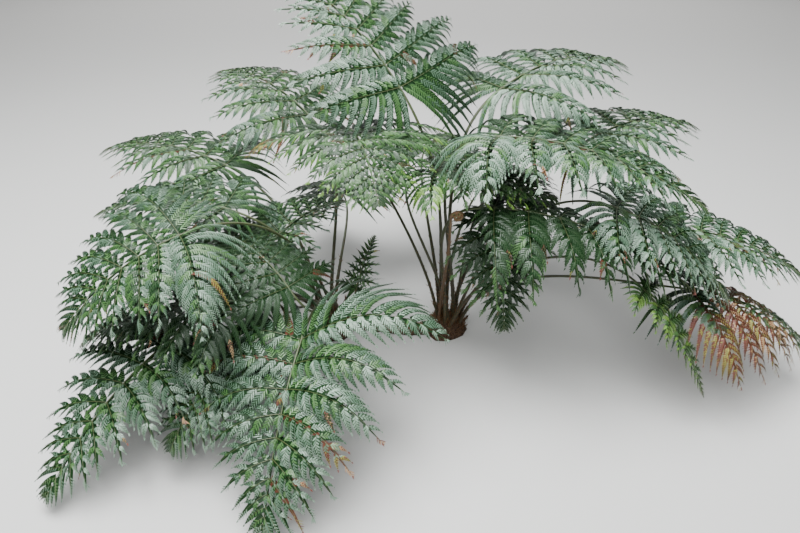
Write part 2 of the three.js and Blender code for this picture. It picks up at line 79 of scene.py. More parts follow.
# Relief of the stalks and rootstock, with old leaf bases and papery scales
LIMB_SIDES = 10
STALK_STEPS = 80
GROOVE_DEPTH = 0.30
GROOVE_WIDTH = 0.55
GROOVE_START = 0.05
GROOVE_DEEPENING = 4
CROZIER_GROOVE = 0.15
LIMB_RIDGES = 5
LIMB_RIDGE_DEPTH = 0.03
LIMB_LUMPS = 0.10
LUMP_SIZE = 16 * MM
FOOT_SWELLING = 0.5
FOOT_SPREAD = 30 * MM
SHAGGY_LENGTH = 150 * MM
SHAGGY_HEIGHT = 20 * MM
SCALE_SPREAD = 0.6
SCALELESS_SLOPE = -0.3
CROZIER_LEAST_SHAGGY = 0.35
RACHIS_TIP_RADIUS = 0.7 * MM
RACHIS_TAPER_POWER = 0.55
ROOTSTOCK_VOXEL = 2.6 * MM
FLAT_HEIGHT = 2 * MM
LEAF_BASE_LENGTH = 22 * MM
LEAF_BASE_RADII = (6.5 * MM, 3.5 * MM)
LEAF_BASE_VARY = (0.7, 1.3)
LEAF_BASE_STRAY = 16

# Bumps of the rootstock's skin, as their size and height
ROOTSTOCK_RELIEF = ((11 * MM, 3.0 * MM), (4 * MM, 1.1 * MM))

# Rows of old leaf bases, as their distance from the crown's middle, height, count and lean
LEAF_BASE_ROWS = ((26 * MM, 52 * MM, 9, 25), (42 * MM, 38 * MM, 13, 48), (56 * MM, 18 * MM, 17, 70))

# Buds on the crozier's coil. A row is the side that it is on and how far its buds lean inwards.
BUD_PLACES = 34
BUD_REACH = (0.02, 0.98)
BUD_STEP = 0.01
BUD_ROWS = ((1, 0.2), (-1, 0.2), (1, 1.4), (-1, 1.4))
BUD_LENGTH = 10 * MM
BUD_PLUMPNESS = (1.0, 0.42, 2.2)
BUD_SHRINKING = 0.3
BUD_OFFSET = 3.0 * MM
BUD_SPREAD = 0.4
BUD_SHAPES = (2, 3)
BUD_COLOURS = (0, 1, 0, 2, 1)

# Blades: the rule that the solids follow
LEAFLET_PAIRS = 12
FIRST_PAIR = 0.035
LAST_PAIR = 0.97
BASE_ANGLE = 92
TIP_ANGLE = 44
ANGLE_SPREAD = 0.17
TAPER_POWER = 0.75
FORWARD_CURVE = 0.35
STRIP_ANGLE = 40
STRIP_ANGLE_TIP = 30
INNER_STRIP = 0.42
INNER_TAPER_POWER = 0.8
OUTER_STRIP = 0.68
OUTER_TAPER_POWER = 0.9
RIB_STEPS = 24
VARY_LENGTH = 0.07
VARY_ANGLE = 4
REST_HEIGHT = 6 * MM
REST_SOFTNESS = 24 * MM

# Numbers behind every fixed draw, the same as for the solids
CHANCE_WEIGHTS = (12.9898, 78.233, 37.719, 4.581, 9.17)
CHANCE_STRETCH = 43758.5453

# Strips, where the solids have teeth. They open wider next to the frond's rib, fill more of the
# gap between two leaflets, and sag more the longer they are.
LEAFLET_STEPS = 40
STRIP_OPENING = 26
OPENING_END = 0.3
STRIP_FILL = 1.15
STRIP_SAG = 0.40
SAGGING_LENGTH = 210 * MM
STRIP_SPACING = 18 * MM
STRIP_STARTS = {1: 0.25, -1: 0.55}
LAST_STRIP = 0.97
STRIP_HALF_WIDTH = 15 * MM
STRIP_SLIMNESS = 0.23
LEAFLET_END = 12 * MM
STRIP_STEPS = 10
STRIP_BULGE = 13
STRIP_ARCH = 0.34
STRIP_ROLL = 16
STRIP_WAVE = 0.22
LEAST_STRIP = 25 * MM
STRIP_FULLNESS = 1.22
STRIP_TAPER_POWER = 0.72
LATE_START = 0.1

# Segments on both edges of a strip, and the wing that joins them along its rib
FIRST_SEGMENT = 0.03
SEGMENT_SPACING = 8.2 * MM
SEGMENT_SURPLUS = 1.08
SEGMENT_STARTS = {1: 0.35, -1: 0.8}
SEGMENT_STOP = 0.6
SEGMENT_CROWDING = 1.1
SEGMENT_ANGLE = 50
SEGMENT_ANGLE_TIP = 34
SEGMENT_REACH = 1.08
SEGMENT_WIDTH = 5.0 * MM
SEGMENT_NARROWING = 0.3
SEGMENT_STOUTNESS = 0.62
SEGMENT_ROOM = 0.70
SEGMENT_DROOP = 14
DROOP_VARY = (0.6, 1.4)
SEGMENT_TILT = 22
SEGMENT_FLUTTER = 0.09
TOOTHED_SEGMENT = 15 * MM
SMALL_SEGMENT = 10 * MM
END_SEGMENT = 9 * MM
END_SEGMENT_SLIMNESS = 0.45
END_SEGMENT_SHAPE = 4
NO_SEGMENT = -1
WING_STEPS = 4
WING_REACH = (0.02, 0.97)
WING_SHARE = 0.78
WING_DROP = 2.0 * MM

# How a leaflet's and a strip's own chance share in a strip's tone, and what lightens a segment.
# Strips further out along a leaflet and segments nearer a strip's tip are lighter as painted
# sheen, and those nearer the frond's rib darker as painted shade; the stray share is at random.
STRIP_SHARE = 0.7
OUTWARD_HIGHLIGHT = 0.40
TIPWARD_HIGHLIGHT = 0.50
STRAY_LIGHT = 0.16

# Withering: spoilt strips are sound up to a share within SPOILT_FROM. A turned leaflet starts to
# wither a little before its share, strip by strip.
SPOILT_SHARE = 0.05
SPOILT_FROM = (0.45, 0.75)
TURNING_LEAD = 0.2
TURNING_SLOPE = 1.2
TURNING_STRAY = 0.4
FADING_STEP = 0.37
FADING_ACROSS = 0.55
STRAY_FADING = 0.5
WITHERED_WIDTH = 0.85
WITHERED_DROOP = 14
WITHERED_WING = 0.60

# Ribs of leaflets and strips
COSTA_RADIUS = 1.25 * MM
COSTULE_RADIUS = 0.55 * MM
RIB_TIP_RADIUS = 0.22 * MM
RIB_END = 0.985
COSTA_POINTS = 12
COSTULE_POINTS = 4
THICK_COSTA_LENGTH = 200 * MM

# One entry a frond, with the solids' values: the crown and the side of it that carry the stalk,
# where the blade starts, its heading, rise (pitch) and droop (bend), its length, and the lowest
# leaflets' share of that (breadth). roll tips the blade sideways, lift and hang raise the leaflets
# next to its rib and lower their tips, and open is the angle of the lowest ones. near_trim and
# far_trim shorten the leaflets on one side, and outer is the share of their length that the strips
# below the lowest ones have. Only here: tone is one of TONES, fine makes strips and segments
# smaller, short shortens leaflets by pair and side, and turned is the share at which they wither.
FRONDS = {
    "front": dict(
        crown="left", foot=-40, base=(-213, -439, 300), heading=-99, pitch=-13, bend=45, length=494,
        breadth=0.83, lift=0.5, hang=0.42, roll=-10, open=102, near_trim=0.76, tone="frosted_sheen",
        turned={(1, 1): 0.85, (3, -1): 0.8, (6, -1): 0.85},
    ),
    "left_upper": dict(
        crown="left", foot=-57, base=(-495, -365, 555), heading=-148, pitch=-9, bend=40, length=372,
        breadth=0.86, lift=0.25, hang=0.4, roll=14, tone="silver_sheen",
    ),
    "left_high": dict(
        crown="left", foot=-166, base=(-440, -150, 520), heading=172, pitch=16, bend=45, length=430,
        breadth=0.7, lift=0.25, hang=0.35, near_trim=0.9, far_trim=0.7, tone="silver_sheen",
    ),
    "left_low": dict(
        crown="left", foot=160, base=(-580, -402, 250), heading=-123, pitch=-8, bend=40, length=472,
        breadth=0.62, lift=0.2, hang=0.4, tone="frosted_sheen",
    ),
    "left_under": dict(
        crown="left", foot=-72, base=(-405, -350, 345), heading=-174, pitch=8, bend=45, length=440,
        breadth=0.66, lift=0.2, hang=0.4, tone="dark",
    ),
    "left_inner": dict(
        crown="left", foot=-124, base=(-386, -458, 250), heading=-128, pitch=-12, bend=45, length=290,
        breadth=0.8, hang=0.4, tone="frosted_sheen",
    ),
    "left_middle": dict(
        crown="left", foot=-142, base=(-350, -150, 400), heading=48, pitch=30, bend=45, length=330,
        breadth=0.8, lift=0.2, hang=0.4, near_trim=0.7, tone="dusky",
    ),
    "middle": dict(
        crown="left", foot=-103, base=(-255, -335, 370), heading=137, pitch=38, bend=50, length=320,
        breadth=0.7, hang=0.3, near_trim=0.9, tone="dark",
    ),
    "small": dict(
        crown="left", foot=-2, base=(-109, 0, 160), heading=53, pitch=67, bend=20, length=192,
        breadth=0.5, tone="green",
    ),
    "centre": dict(
        crown="right", foot=175, base=(-100, -40, 715), heading=-75, pitch=10, bend=50, length=360,
        breadth=0.9, lift=0.1, hang=0.3, tone="young", fine=0.75, turned={(0, 1): 0.86},
    ),
    "tall": dict(
        crown="right", foot=-146, base=(44, 20, 800), heading=143, pitch=50, bend=30, length=500,
        breadth=0.7, lift=0.1, hang=0.25, roll=8, near_trim=1.3, tone="bright",
    ),
    "right_upper": dict(
        crown="right", foot=-12, base=(290, -75, 705), heading=-22, pitch=8, bend=40, length=600,
        breadth=0.62, lift=0.2, far_trim=0.85, tone="silver_sheen",
    ),
    "right_inner": dict(
        crown="right", foot=-69, base=(130, -110, 620), heading=-14, pitch=4, bend=25, length=350,
        breadth=0.7, tone="young",
    ),
    "right_low": dict(
        crown="right", foot=-101, base=(268, -215, 555), heading=-15, pitch=5, bend=45, length=599,
        breadth=0.55, lift=0.0, hang=1.2, tone="dark", outer=0.2,
    ),
    "shaded": dict(
        crown="right", foot=29, base=(300, -80, 475), heading=-81, pitch=-30, bend=45, length=356,
        breadth=0.62, tone="dark", short={(0, 1): 0.6, (0, -1): 0.44},
    ),
    "right_far": dict(
        crown="right", foot=-42, base=(618, -171, 540), heading=-26, pitch=-9, bend=45, length=410,
        breadth=0.72, tone="bright",
    ),
    "right_edge": dict(
        crown="right", foot=7, base=(860, -60, 415), heading=-14, pitch=4, bend=40, length=400,
        breadth=0.7, near_trim=1.1, tone="frosted_sheen",
    ),
    "hanging": dict(
        crown="right", foot=-79, base=(682, -319, 370), heading=-38, pitch=-33, bend=35, length=354,
        breadth=0.34, tone="fresh", fine=0.6,
    ),
    "dying": dict(
        crown="right", foot=-19, base=(870, -190, 285), heading=-12, pitch=0, bend=42, length=400,
        breadth=0.6, lift=0.0, hang=0.85, open=78, near_trim=1.45, tone="dusky",
        turned={
            (0, 1): 0.4, (1, 1): 0.15, (2, 1): 0.1, (3, 1): 0.35, (4, 1): 0.1, (5, 1): 0.3,
            (1, -1): 0.2, (2, -1): 0.1, (3, -1): 0.1, (4, -1): 0.3,
        },
    ),
    "back_right": dict(
        crown="right", foot=90, base=(345, 250, 745), heading=36, pitch=24, bend=45, length=600,
        breadth=0.66, tone="bright",
    ),
    "back_far_right": dict(
        crown="right", foot=58, base=(610, 220, 570), heading=30, pitch=22, bend=45, length=560,
        breadth=0.64, tone="silver_sheen",
    ),
    "back_far_left": dict(
        crown="left", foot=142, base=(-537, 253, 490), heading=158, pitch=20, bend=40, length=540,
        breadth=0.66, tone="green",
    ),
    "back_left": dict(
        crown="left", foot=103, base=(-260, 320, 640), heading=138, pitch=30, bend=40, length=500,
        breadth=0.7, tone="green",
    ),
    "back_centre": dict(
        crown="right", foot=125, base=(120, 420, 480), heading=80, pitch=10, bend=50, length=480,
        breadth=0.62, tone="green",
    ),
    "back_low": dict(
        crown="left", foot=86, base=(-170, 380, 330), heading=108, pitch=5, bend=50, length=430,
        breadth=0.62, tone="dusky",
    ),
    "back_middle": dict(
        crown="right", foot=100, base=(330, 320, 390), heading=55, pitch=12, bend=50, length=460,
        breadth=0.64, tone="green",
    ),
    "back_low_left": dict(
        crown="left", foot=116, base=(-500, 170, 240), heading=155, pitch=14, bend=50, length=430,
        breadth=0.64, tone="dusky",
    ),
}
NAMES = list(FRONDS)

# Base colours of the segments. A tone is how often each of the green ones comes, strip by strip,
# and withered ones take the last three by the shares in WITHERED. The pale green is painted sheen,
# the sky's silvery reflection on the leathery blades, and the deep green is partly the leaf's own
# and partly painted shade. Tones rich in the pale one paint sheen on fronds in the light, and the
# dark tone paints shade on fronds under others.
LEAF_COLOURS = {
    "deep": (0.014, 0.042, 0.012),
    "green": (0.046, 0.118, 0.028),
    "blue": (0.072, 0.132, 0.084),
    "pale": (0.150, 0.222, 0.162),
    "young": (0.135, 0.260, 0.040),
    "ochre": (0.250, 0.230, 0.045),
    "rust": (0.155, 0.050, 0.038),
    "straw": (0.430, 0.260, 0.135),
}
COLOUR_NAMES = list(LEAF_COLOURS)
TONES = {
    # These three tones, rich in the pale green, paint sheen on the fronds
    "frosted_sheen": dict(green=2, blue=4, pale=7),
    "bright": dict(green=1, blue=4, pale=9),
    "silver_sheen": dict(deep=1, green=3, blue=4, pale=4),
    "dusky": dict(deep=3, green=3, blue=5, pale=2),
    # Painted shade: the tone of fronds that lie under others
    "dark": dict(deep=10, green=3),
    "green": dict(deep=2, green=4, blue=2, pale=2),
    "young": dict(deep=4, green=9, young=3),
    "fresh": dict(green=3, young=6),
}
WITHERED = dict(ochre=3, rust=4, straw=4)
# The wings are real, but their colours, darker than any leaf's, are painted shade in the gaps between
# segments
WING_SHADE_COLOURS = {"sound": (0.008, 0.026, 0.008), "withered": (0.075, 0.026, 0.016)}


def mix(a, b, t):
    """What lies at share t of the way from a to b."""
    return a + (b - a) * t


def unit(vectors):
    """The same vectors, each one long."""
    return vectors / np.linalg.norm(vectors, axis=-1, keepdims=True)


def rolled(first, second, angle):
    """Two directions at right angles, turned in their plane from the first towards the second."""
    return (
        first * np.cos(angle) + second * np.sin(angle),
        second * np.cos(angle) - first * np.sin(angle),
    )


def run_along(points):
    """How far each point of a path is from its start, along it."""
    return np.concatenate([[0], np.cumsum(np.linalg.norm(np.diff(points, axis=0), axis=1))])


def chance(*keys):
    """A fixed number from 0 to 1 for the numbers that name a piece. The factors that its callers
    put on a number only set one draw apart from another."""
    wave = math.sin(sum(key * weight for key, weight in zip(keys, CHANCE_WEIGHTS)))
    return (wave * CHANCE_STRETCH) % 1


def vary(name, k, hand):
    """The same from -1 to 1 for a frond's leaflet, as the solids have it."""
    return chance(NAMES.index(name), k, hand) * 2 - 1


def settle(points):
    """Keeps points of a leaf above the ground that it comes to rest on."""
    height = points[..., 2] - REST_HEIGHT
    points[..., 2] = REST_HEIGHT + (height + np.hypot(height, REST_SOFTNESS)) / 2
    return points


class Rib(NamedTuple):
    """Stations along a rib or a strip: where each is, and which way its frame faces."""

    points: np.ndarray
    along: np.ndarray
    side: np.ndarray
    up: np.ndarray

    def at(self, t):
        """The stations at shares t of the way along."""
        x = np.linspace(0, 1, len(self.points))
        t = np.clip(t, 0, 1)
        blend = [np.stack([np.interp(t, x, part[:, i]) for i in range(3)], -1) for part in self]
        return Rib(blend[0], *(unit(part) for part in blend[1:]))


def rib_of(frond):
    """A blade's rib, arching down from its base to its tip."""
    heading = math.radians(frond["heading"])
    flat = np.array([math.sin(heading), -math.cos(heading), 0.0])
    ahead = np.array([math.cos(heading), math.sin(heading), 0.0])

    def directions_at(t):
        rise = np.radians(frond["pitch"] - frond["bend"] * t)[:, None]
        roll = np.radians(frond.get("roll", 0) * (1 - t / 2))[:, None]
        along = ahead * np.cos(rise) - DOWN * np.sin(rise)
        return along, *rolled(flat, np.cross(flat, along), roll)

    t = np.arange(RIB_STEPS + 1) / RIB_STEPS
    steps = directions_at(t[:-1] + 0.5 / RIB_STEPS)[0] * frond["length"] * MM / RIB_STEPS
    points = np.array(frond["base"]) * MM + np.vstack([np.zeros(3), np.cumsum(steps, 0)])
    return Rib(settle(points), *directions_at(t))


def pair_station(k):
    """Where pair k of leaflets stands, as a share of the blade's length."""
    return mix(FIRST_PAIR, LAST_PAIR, 1 - (1 - k / LEAFLET_PAIRS) ** 2)


def leaflet_length(name, k, hand):
    """How long a leaflet is. hand is 1 on the blade's near side and -1 on its far side."""
    frond = FRONDS[name]
    taper = (1 - pair_station(k)) ** TAPER_POWER
    trim = frond.get("near_trim", 1) if hand > 0 else frond.get("far_trim", 1)
    trim *= frond.get("short", {}).get((k, hand), 1)
    return frond["length"] * MM * frond["breadth"] * taper * trim * (1 + VARY_LENGTH * vary(name, k, hand))


def leaflet_rib(name, k, hand):
    """A leaflet's rib: it leaves the frond's rib, lifts, curves forward and hangs at its tip."""
    frond = FRONDS[name]
    start, along, side, up = rib_of(frond).at(pair_station(k))
    angle = mix(frond.get("open", BASE_ANGLE), TIP_ANGLE, pair_station(k))
    angle = math.radians(angle + VARY_ANGLE * vary(name, k, 2 * hand))

    def along_at(u):
        u = u[:, None]
        return unit(
            along * (math.cos(angle) + FORWARD_CURVE * u)
            + side * hand * math.sin(angle)
            + up * frond.get("lift", 0.15) * (1 - u)
            + DOWN * 2 * frond.get("hang", 0.35) * u * u
        )

    u = np.arange(LEAFLET_STEPS + 1) / LEAFLET_STEPS
    heading = along_at(u)
    above = unit(up - heading * (heading @ up)[:, None])
    steps = along_at(u[:-1] + 0.5 / LEAFLET_STEPS) * leaflet_length(name, k, hand) / LEAFLET_STEPS
    points = start + np.vstack([np.zeros(3), np.cumsum(steps, 0)])
    return Rib(settle(points), heading, np.cross(above, heading) * hand, above)


def strip_angle(u):
    """How far a strip stands off its leaflet's rib, wider next to the frond's rib."""
    opening = STRIP_OPENING * max(0.0, 1 - u / OPENING_END)
    return math.radians(mix(STRIP_ANGLE, STRIP_ANGLE_TIP, u) + opening)


def strip_length(name, k, hand, u, way):
    """Length of the strip at u along a leaflet. way is 1 towards the frond's tip and else -1."""
    length = leaflet_length(name, k, hand)
    if way < 0 and k == 0:
        return FRONDS[name].get("outer", OUTER_STRIP) * length * (1 - u) ** OUTER_TAPER_POWER
    gap = FRONDS[name]["length"] * MM * (pair_station(k + 1) - pair_station(k))
    room = STRIP_FILL * (gap + ANGLE_SPREAD * u * length)
    room *= math.sin(math.radians(STRIP_ANGLE)) / math.sin(max(strip_angle(u), math.radians(STRIP_ANGLE)))
    return min(INNER_STRIP * length * (1 - u) ** INNER_TAPER_POWER, room)


def strip_rib(leaflet, u, way, length, draw):
    """A strip's rib: it leaves its leaflet's rib, bulges outwards and sags to its tip. draw, from
    -1 to 1, turns it about its length and lifts or lowers its middle."""
    start, along, side, up = leaflet.at(u)
    angle = strip_angle(u)
    wide = angle + math.radians(STRIP_BULGE)
    level = along * math.cos(angle) + side * way * math.sin(angle)
    bulging = along * math.cos(wide) + side * way * math.sin(wide)
    tip = settle(start + unit(level + DOWN * min(STRIP_SAG, length / SAGGING_LENGTH)) * length)
    middle = start + length / 2 * (bulging + up * (STRIP_ARCH + STRIP_WAVE * draw))
    t = np.linspace(0, 1, STRIP_STEPS + 1)[:, None]
    points = start * (1 - t) ** 2 + middle * 2 * t * (1 - t) + tip * t * t
    heading = unit((middle - start) * (1 - t) + (tip - middle) * t)
    above = unit(up - heading * (heading @ up)[:, None])
    above, across = rolled(above, np.cross(above, heading), math.radians(STRIP_ROLL * draw))
    return Rib(points, heading, across, above)


# Strips and their segments

class Strip(NamedTuple):
    """A rib with segments on its two edges, 1 and -1, from the shares in first on. light picks its
    tone, and holds painted sheen on strips far out along a leaflet and painted shade on those near
    the frond's rib; sound is the share of it that hasn't withered, faded picks what the rest has
    withered to, and place is its leaflet's pair and side, the way that it points and its share along it."""

    rib: Rib
    length: float
    first: dict
    half_width: float
    light: float
    sound: float
    faded: float
    place: tuple


def scale_of(name):
    """How large a frond's parts are beside those of a frond of common length."""
    return math.sqrt(FRONDS[name]["length"] * MM / COMMON_LENGTH)


def grain_of(name):
    """The same for its strips and segments, which are finer on a narrow frond."""
    return scale_of(name) * FRONDS[name].get("fine", 1)


def drawn(tone, draw):
    """The colour that a draw from 0 to 1 gives, by the tone's shares."""
    left = draw * sum(tone.values())
    for colour, weight in tone.items():
        left -= weight
        if left <= 0:
            return colour
    return colour


def looks_of(name, k, hand, u, way):
    """How light a strip is, with painted sheen further out along its leaflet and painted shade nearer
    the frond's rib, the share of it that is sound, and which colour the rest of it, up to its tip,
    has withered to."""
    number = NAMES.index(name)
    light = mix(chance(number, k, hand), chance(number, k * 13 + u * 17, hand + way * 5), STRIP_SHARE)
    # Painted sheen further out along the leaflet, painted shade near the frond's rib
    light += OUTWARD_HIGHLIGHT * (u - 0.5)
    draw = chance(number + 3, k * 7 + u * 31, hand * 3 + way)
    faded = FADING_STEP * k + FADING_ACROSS * (hand < 0)
    faded = (faded + STRAY_FADING * chance(k, 11 * u, hand + 2 * way)) % 1
    turned = FRONDS[name].get("turned", {}).get((k, hand))
    if turned is not None and u > turned - TURNING_LEAD:
        return light, max(0.0, TURNING_SLOPE * (turned - u) + TURNING_STRAY * draw), faded
    if draw < SPOILT_SHARE:
        return light, mix(*SPOILT_FROM, draw / SPOILT_SHARE), faded
    return light, 1.0, faded


def strips_of(name):
    """Every strip of a frond: on its leaflets, along their outer ends, and at its tip."""
    scale = grain_of(name)
    for k in range(LEAFLET_PAIRS):
        for hand in (1, -1):
            leaflet = leaflet_rib(name, k, hand)
            length = leaflet_length(name, k, hand)
            first = {}
            for way in (1, -1):
                u = STRIP_STARTS[way] * STRIP_SPACING * scale / length
                while u < LAST_STRIP:
                    reach = strip_length(name, k, hand, u, way)
                    if reach < LEAST_STRIP * scale:
                        break
                    wave = chance(NAMES.index(name) + 7, k * 5 + u * 23, hand * 3 + way) * 2 - 1
                    yield Strip(
                        strip_rib(leaflet, u, way, reach, wave), reach,
                        {1: FIRST_SEGMENT, -1: FIRST_SEGMENT},
                        min(STRIP_HALF_WIDTH * scale, STRIP_SLIMNESS * reach),
                        *looks_of(name, k, hand, u, way), (k, hand, way, u),
                    )
                    u += STRIP_SPACING * scale / (length * math.sin(strip_angle(u)))
                first[way] = min(u, LAST_STRIP)
            yield Strip(
                leaflet, length, first, min(LEAFLET_END * scale, STRIP_SLIMNESS * length),
                *looks_of(name, k, hand, min(first.values()), 0), (k, hand, 0, 0),
            )
    rib = rib_of(FRONDS[name])
    yield Strip(
        rib, FRONDS[name]["length"] * MM, {1: LAST_PAIR, -1: LAST_PAIR}, 0.5 * STRIP_HALF_WIDTH * scale,
        *looks_of(name, LEAFLET_PAIRS, 0, 0, 0), (LEAFLET_PAIRS, 0, 0, 0),
    )


def strip_outline(v, first=0.0):
    """Half-width of a strip at shares v of its length, as a share of the widest. The end of a
    leaflet, which only starts at share first, narrows all the way to its tip."""
    if first > LATE_START:
        return ((1 - v) / (1 - first)) ** STRIP_TAPER_POWER
    return np.minimum(1, STRIP_FULLNESS * (1 - v) ** STRIP_TAPER_POWER)


def segment_directions(stations, angle, lean, edge):
    """Which way segments point and face: off the rib by an angle, leaning down and tilted."""
    out = stations.side * edge
    level = stations.along * np.cos(angle) + out * np.sin(angle)
    ahead = stations.along * np.sin(angle) - out * np.cos(angle)
    direction = level * np.cos(lean) - stations.up * np.sin(lean)
    normal = stations.up * np.cos(lean) + level * np.sin(lean)
    tilt = math.radians(SEGMENT_TILT)
    return direction, normal * math.cos(tilt) + ahead * math.sin(tilt)


def segment_shape(reach, scale, turn):
    """The number of a segment's shape, by its length and the side that it curves to."""
    plain = (reach[:, 0] < TOOTHED_SEGMENT * scale).astype(int)
    return 2 * (plain + (reach[:, 0] < SMALL_SEGMENT * scale)) + (0 if turn > 0 else 1)


def segment_colours(strip, shares, tone, draws):
    """The numbers of the segments' colours at shares of the way along a strip."""
    colours = []
    for share, draw in zip(shares, draws.random(len(shares)) - 0.5):
        if share > strip.sound:
            colours.append(drawn(WITHERED, strip.faded + STRAY_FADING * draw))
        else:
            # Painted sheen towards the strip's tip, painted shade towards its base
            light = strip.light + TIPWARD_HIGHLIGHT * (share - 0.5) + STRAY_LIGHT * draw
            colours.append(drawn(tone, light))
    return np.array([COLOUR_NAMES.index(colour) for colour in colours])


def segments_on(strip, scale, tone, draws):
    """Points for the segments on a strip: place, direction, normal, size, shape and colour."""
    rows = []
    k, hand, way, u = strip.place
    droop = SEGMENT_DROOP * mix(*DROOP_VARY, chance(k, hand * 2 + way, u * 19))
    for edge in (1, -1):
        first = strip.first[edge]
        span = strip.length * (1 - first)
        count = max(2, math.ceil(span / (SEGMENT_SPACING * scale) * SEGMENT_SURPLUS))
        x = (np.arange(count) + SEGMENT_STARTS[edge]) / (count + SEGMENT_STOP)
        v = first + (1 - first) * (1 - (1 - x) ** SEGMENT_CROWDING)
        stations = strip.rib.at(v)
        outline = strip_outline(v, first)[:, None]
        angle = np.radians(mix(SEGMENT_ANGLE, SEGMENT_ANGLE_TIP, v))[:, None]
        withered = (v > strip.sound)[:, None]
        lean = np.radians(droop + WITHERED_DROOP * withered)
        reach = strip.half_width * outline / np.sin(angle) * SEGMENT_REACH
        narrowed = 1 - SEGMENT_NARROWING + SEGMENT_NARROWING * outline
        width = np.minimum(SEGMENT_WIDTH * scale * narrowed, SEGMENT_STOUTNESS * reach)
        width = np.minimum(width, SEGMENT_ROOM * SEGMENT_SPACING * scale * np.sin(angle))
        width = width * np.where(withered, WITHERED_WIDTH, 1)
        turn = np.cross(stations.up[0], stations.along[0]) @ stations.side[0] * edge
        rows.append((
            stations.points, *segment_directions(stations, angle, lean, edge),
            np.hstack([reach, width, reach]), segment_shape(reach, scale, turn),
            segment_colours(strip, v, tone, draws),
        ))
    end = strip.rib.at(np.array([RIB_END]))
    size = np.array([[1.0, END_SEGMENT_SLIMNESS, 1.0]]) * min(END_SEGMENT * scale, strip.half_width)
    # A sound strip's end segment is painted as light as its tip, as painted sheen
    colour = drawn(tone, strip.light + TIPWARD_HIGHLIGHT / 2) if strip.sound == 1 else "rust"
    shape = np.array([END_SEGMENT_SHAPE])
    rows.append((end.points, end.along, end.up, size, shape, np.array([COLOUR_NAMES.index(colour)])))
    return [np.concatenate(part) for part in zip(*rows)]


def wing_of(strip):
    """The narrow wing that joins a strip's segments along its rib, as rows of three points."""
    t = np.linspace(*WING_REACH, WING_STEPS + 1)
    place, _, side, up = strip.rib.at(t)
    share = np.where(t > strip.sound, WITHERED_WING, WING_SHARE)
    half = (strip.half_width * share * strip_outline(t))[:, None]
    middle = place - up * WING_DROP
    return np.stack([middle - side * half, middle, middle + side * half], 1).reshape(-1, 3)


def wing_faces(first, flip):
    """Faces of a wing whose points start at number first."""
    faces = []
    for row in range(first, first + 3 * WING_STEPS, 3):
        for a in (row, row + 1):
            face = (a, a + 1, a + 4, a + 3)
            faces.append(face[::-1] if flip else face)
    return faces


# What the trees read from points and surfaces, and a grown piece doesn't keep
WORKING_ATTRIBUTES = (
    "direction", "normal", "size", "shape", "colour", "thick", "straight", "reach", "grain", "shaggy",
)


# Node trees

def add(tree, kind, sockets=(), **settings):
    """Adds a node and sets it. sockets gives an input's name or number a value or an output to read."""
    made = tree.nodes.new(kind)
    for key, value in settings.items():
        setattr(made, key, value)
    for key, value in dict(sockets).items():
        if isinstance(value, bpy.types.NodeSocket):
            tree.links.new(value, made.inputs[key])
        else:
            made.inputs[key].default_value = value
    return made


def read(tree, label, kind="FLOAT_VECTOR"):
    """Reads an attribute of the points or of the surface that a tree is run on."""
    return add(
        tree, "GeometryNodeInputNamedAttribute", {"Name": label}, data_type=kind
    ).outputs["Attribute"]


def pick(tree, collection):
    """The shapes in a collection, each an instance of its own."""
    return add(
        tree, "GeometryNodeCollectionInfo",
        {"Collection": collection, "Separate Children": True, "Reset Children": True},
    ).outputs[0]


def shake(tree, seed):
    """A random vector for each point, from -1 to 1 each way."""
    return add(
        tree, "FunctionNodeRandomValue", {0: (-1.0, -1.0, -1.0), 1: (1.0, 1.0, 1.0), "Seed": seed},
        data_type="FLOAT_VECTOR",
    ).outputs[0]


def shape_tree(name, inputs):
    """An empty tree with its named inputs, and its input and output nodes."""
    tree = bpy.data.node_groups.new(name, "GeometryNodeTree")
    tree.interface.new_socket("Geometry", in_out="INPUT", socket_type="NodeSocketGeometry")
    tree.interface.new_socket("Geometry", in_out="OUTPUT", socket_type="NodeSocketGeometry")
    for label, (kind, value) in inputs.items():
        socket = tree.interface.new_socket(label, in_out="INPUT", socket_type=f"NodeSocket{kind}")
        if value is not None:
            socket.default_value = value
    return tree, add(tree, "NodeGroupInput").outputs, add(tree, "NodeGroupOutput")


def finish_tree(tree, shape, materials, out):
    """Ends a tree: instances made real, shaded smooth, and a material for each number in colour."""
    real = add(tree, "GeometryNodeRealizeInstances", {"Geometry": shape})
    made = add(tree, "GeometryNodeSetShadeSmooth", {0: real.outputs[0]})
    kind = read(tree, "colour", "INT")
    for number, finish in enumerate(materials):
        chosen = add(
            tree, "FunctionNodeCompare", {2: kind, 3: number}, data_type="INT", operation="EQUAL"
        )
        made = add(
            tree, "GeometryNodeSetMaterial",
            {"Geometry": made.outputs[0], "Selection": chosen.outputs[0], "Material": finish},
        )
    tree.links.new(made.outputs[0], out.inputs[0])


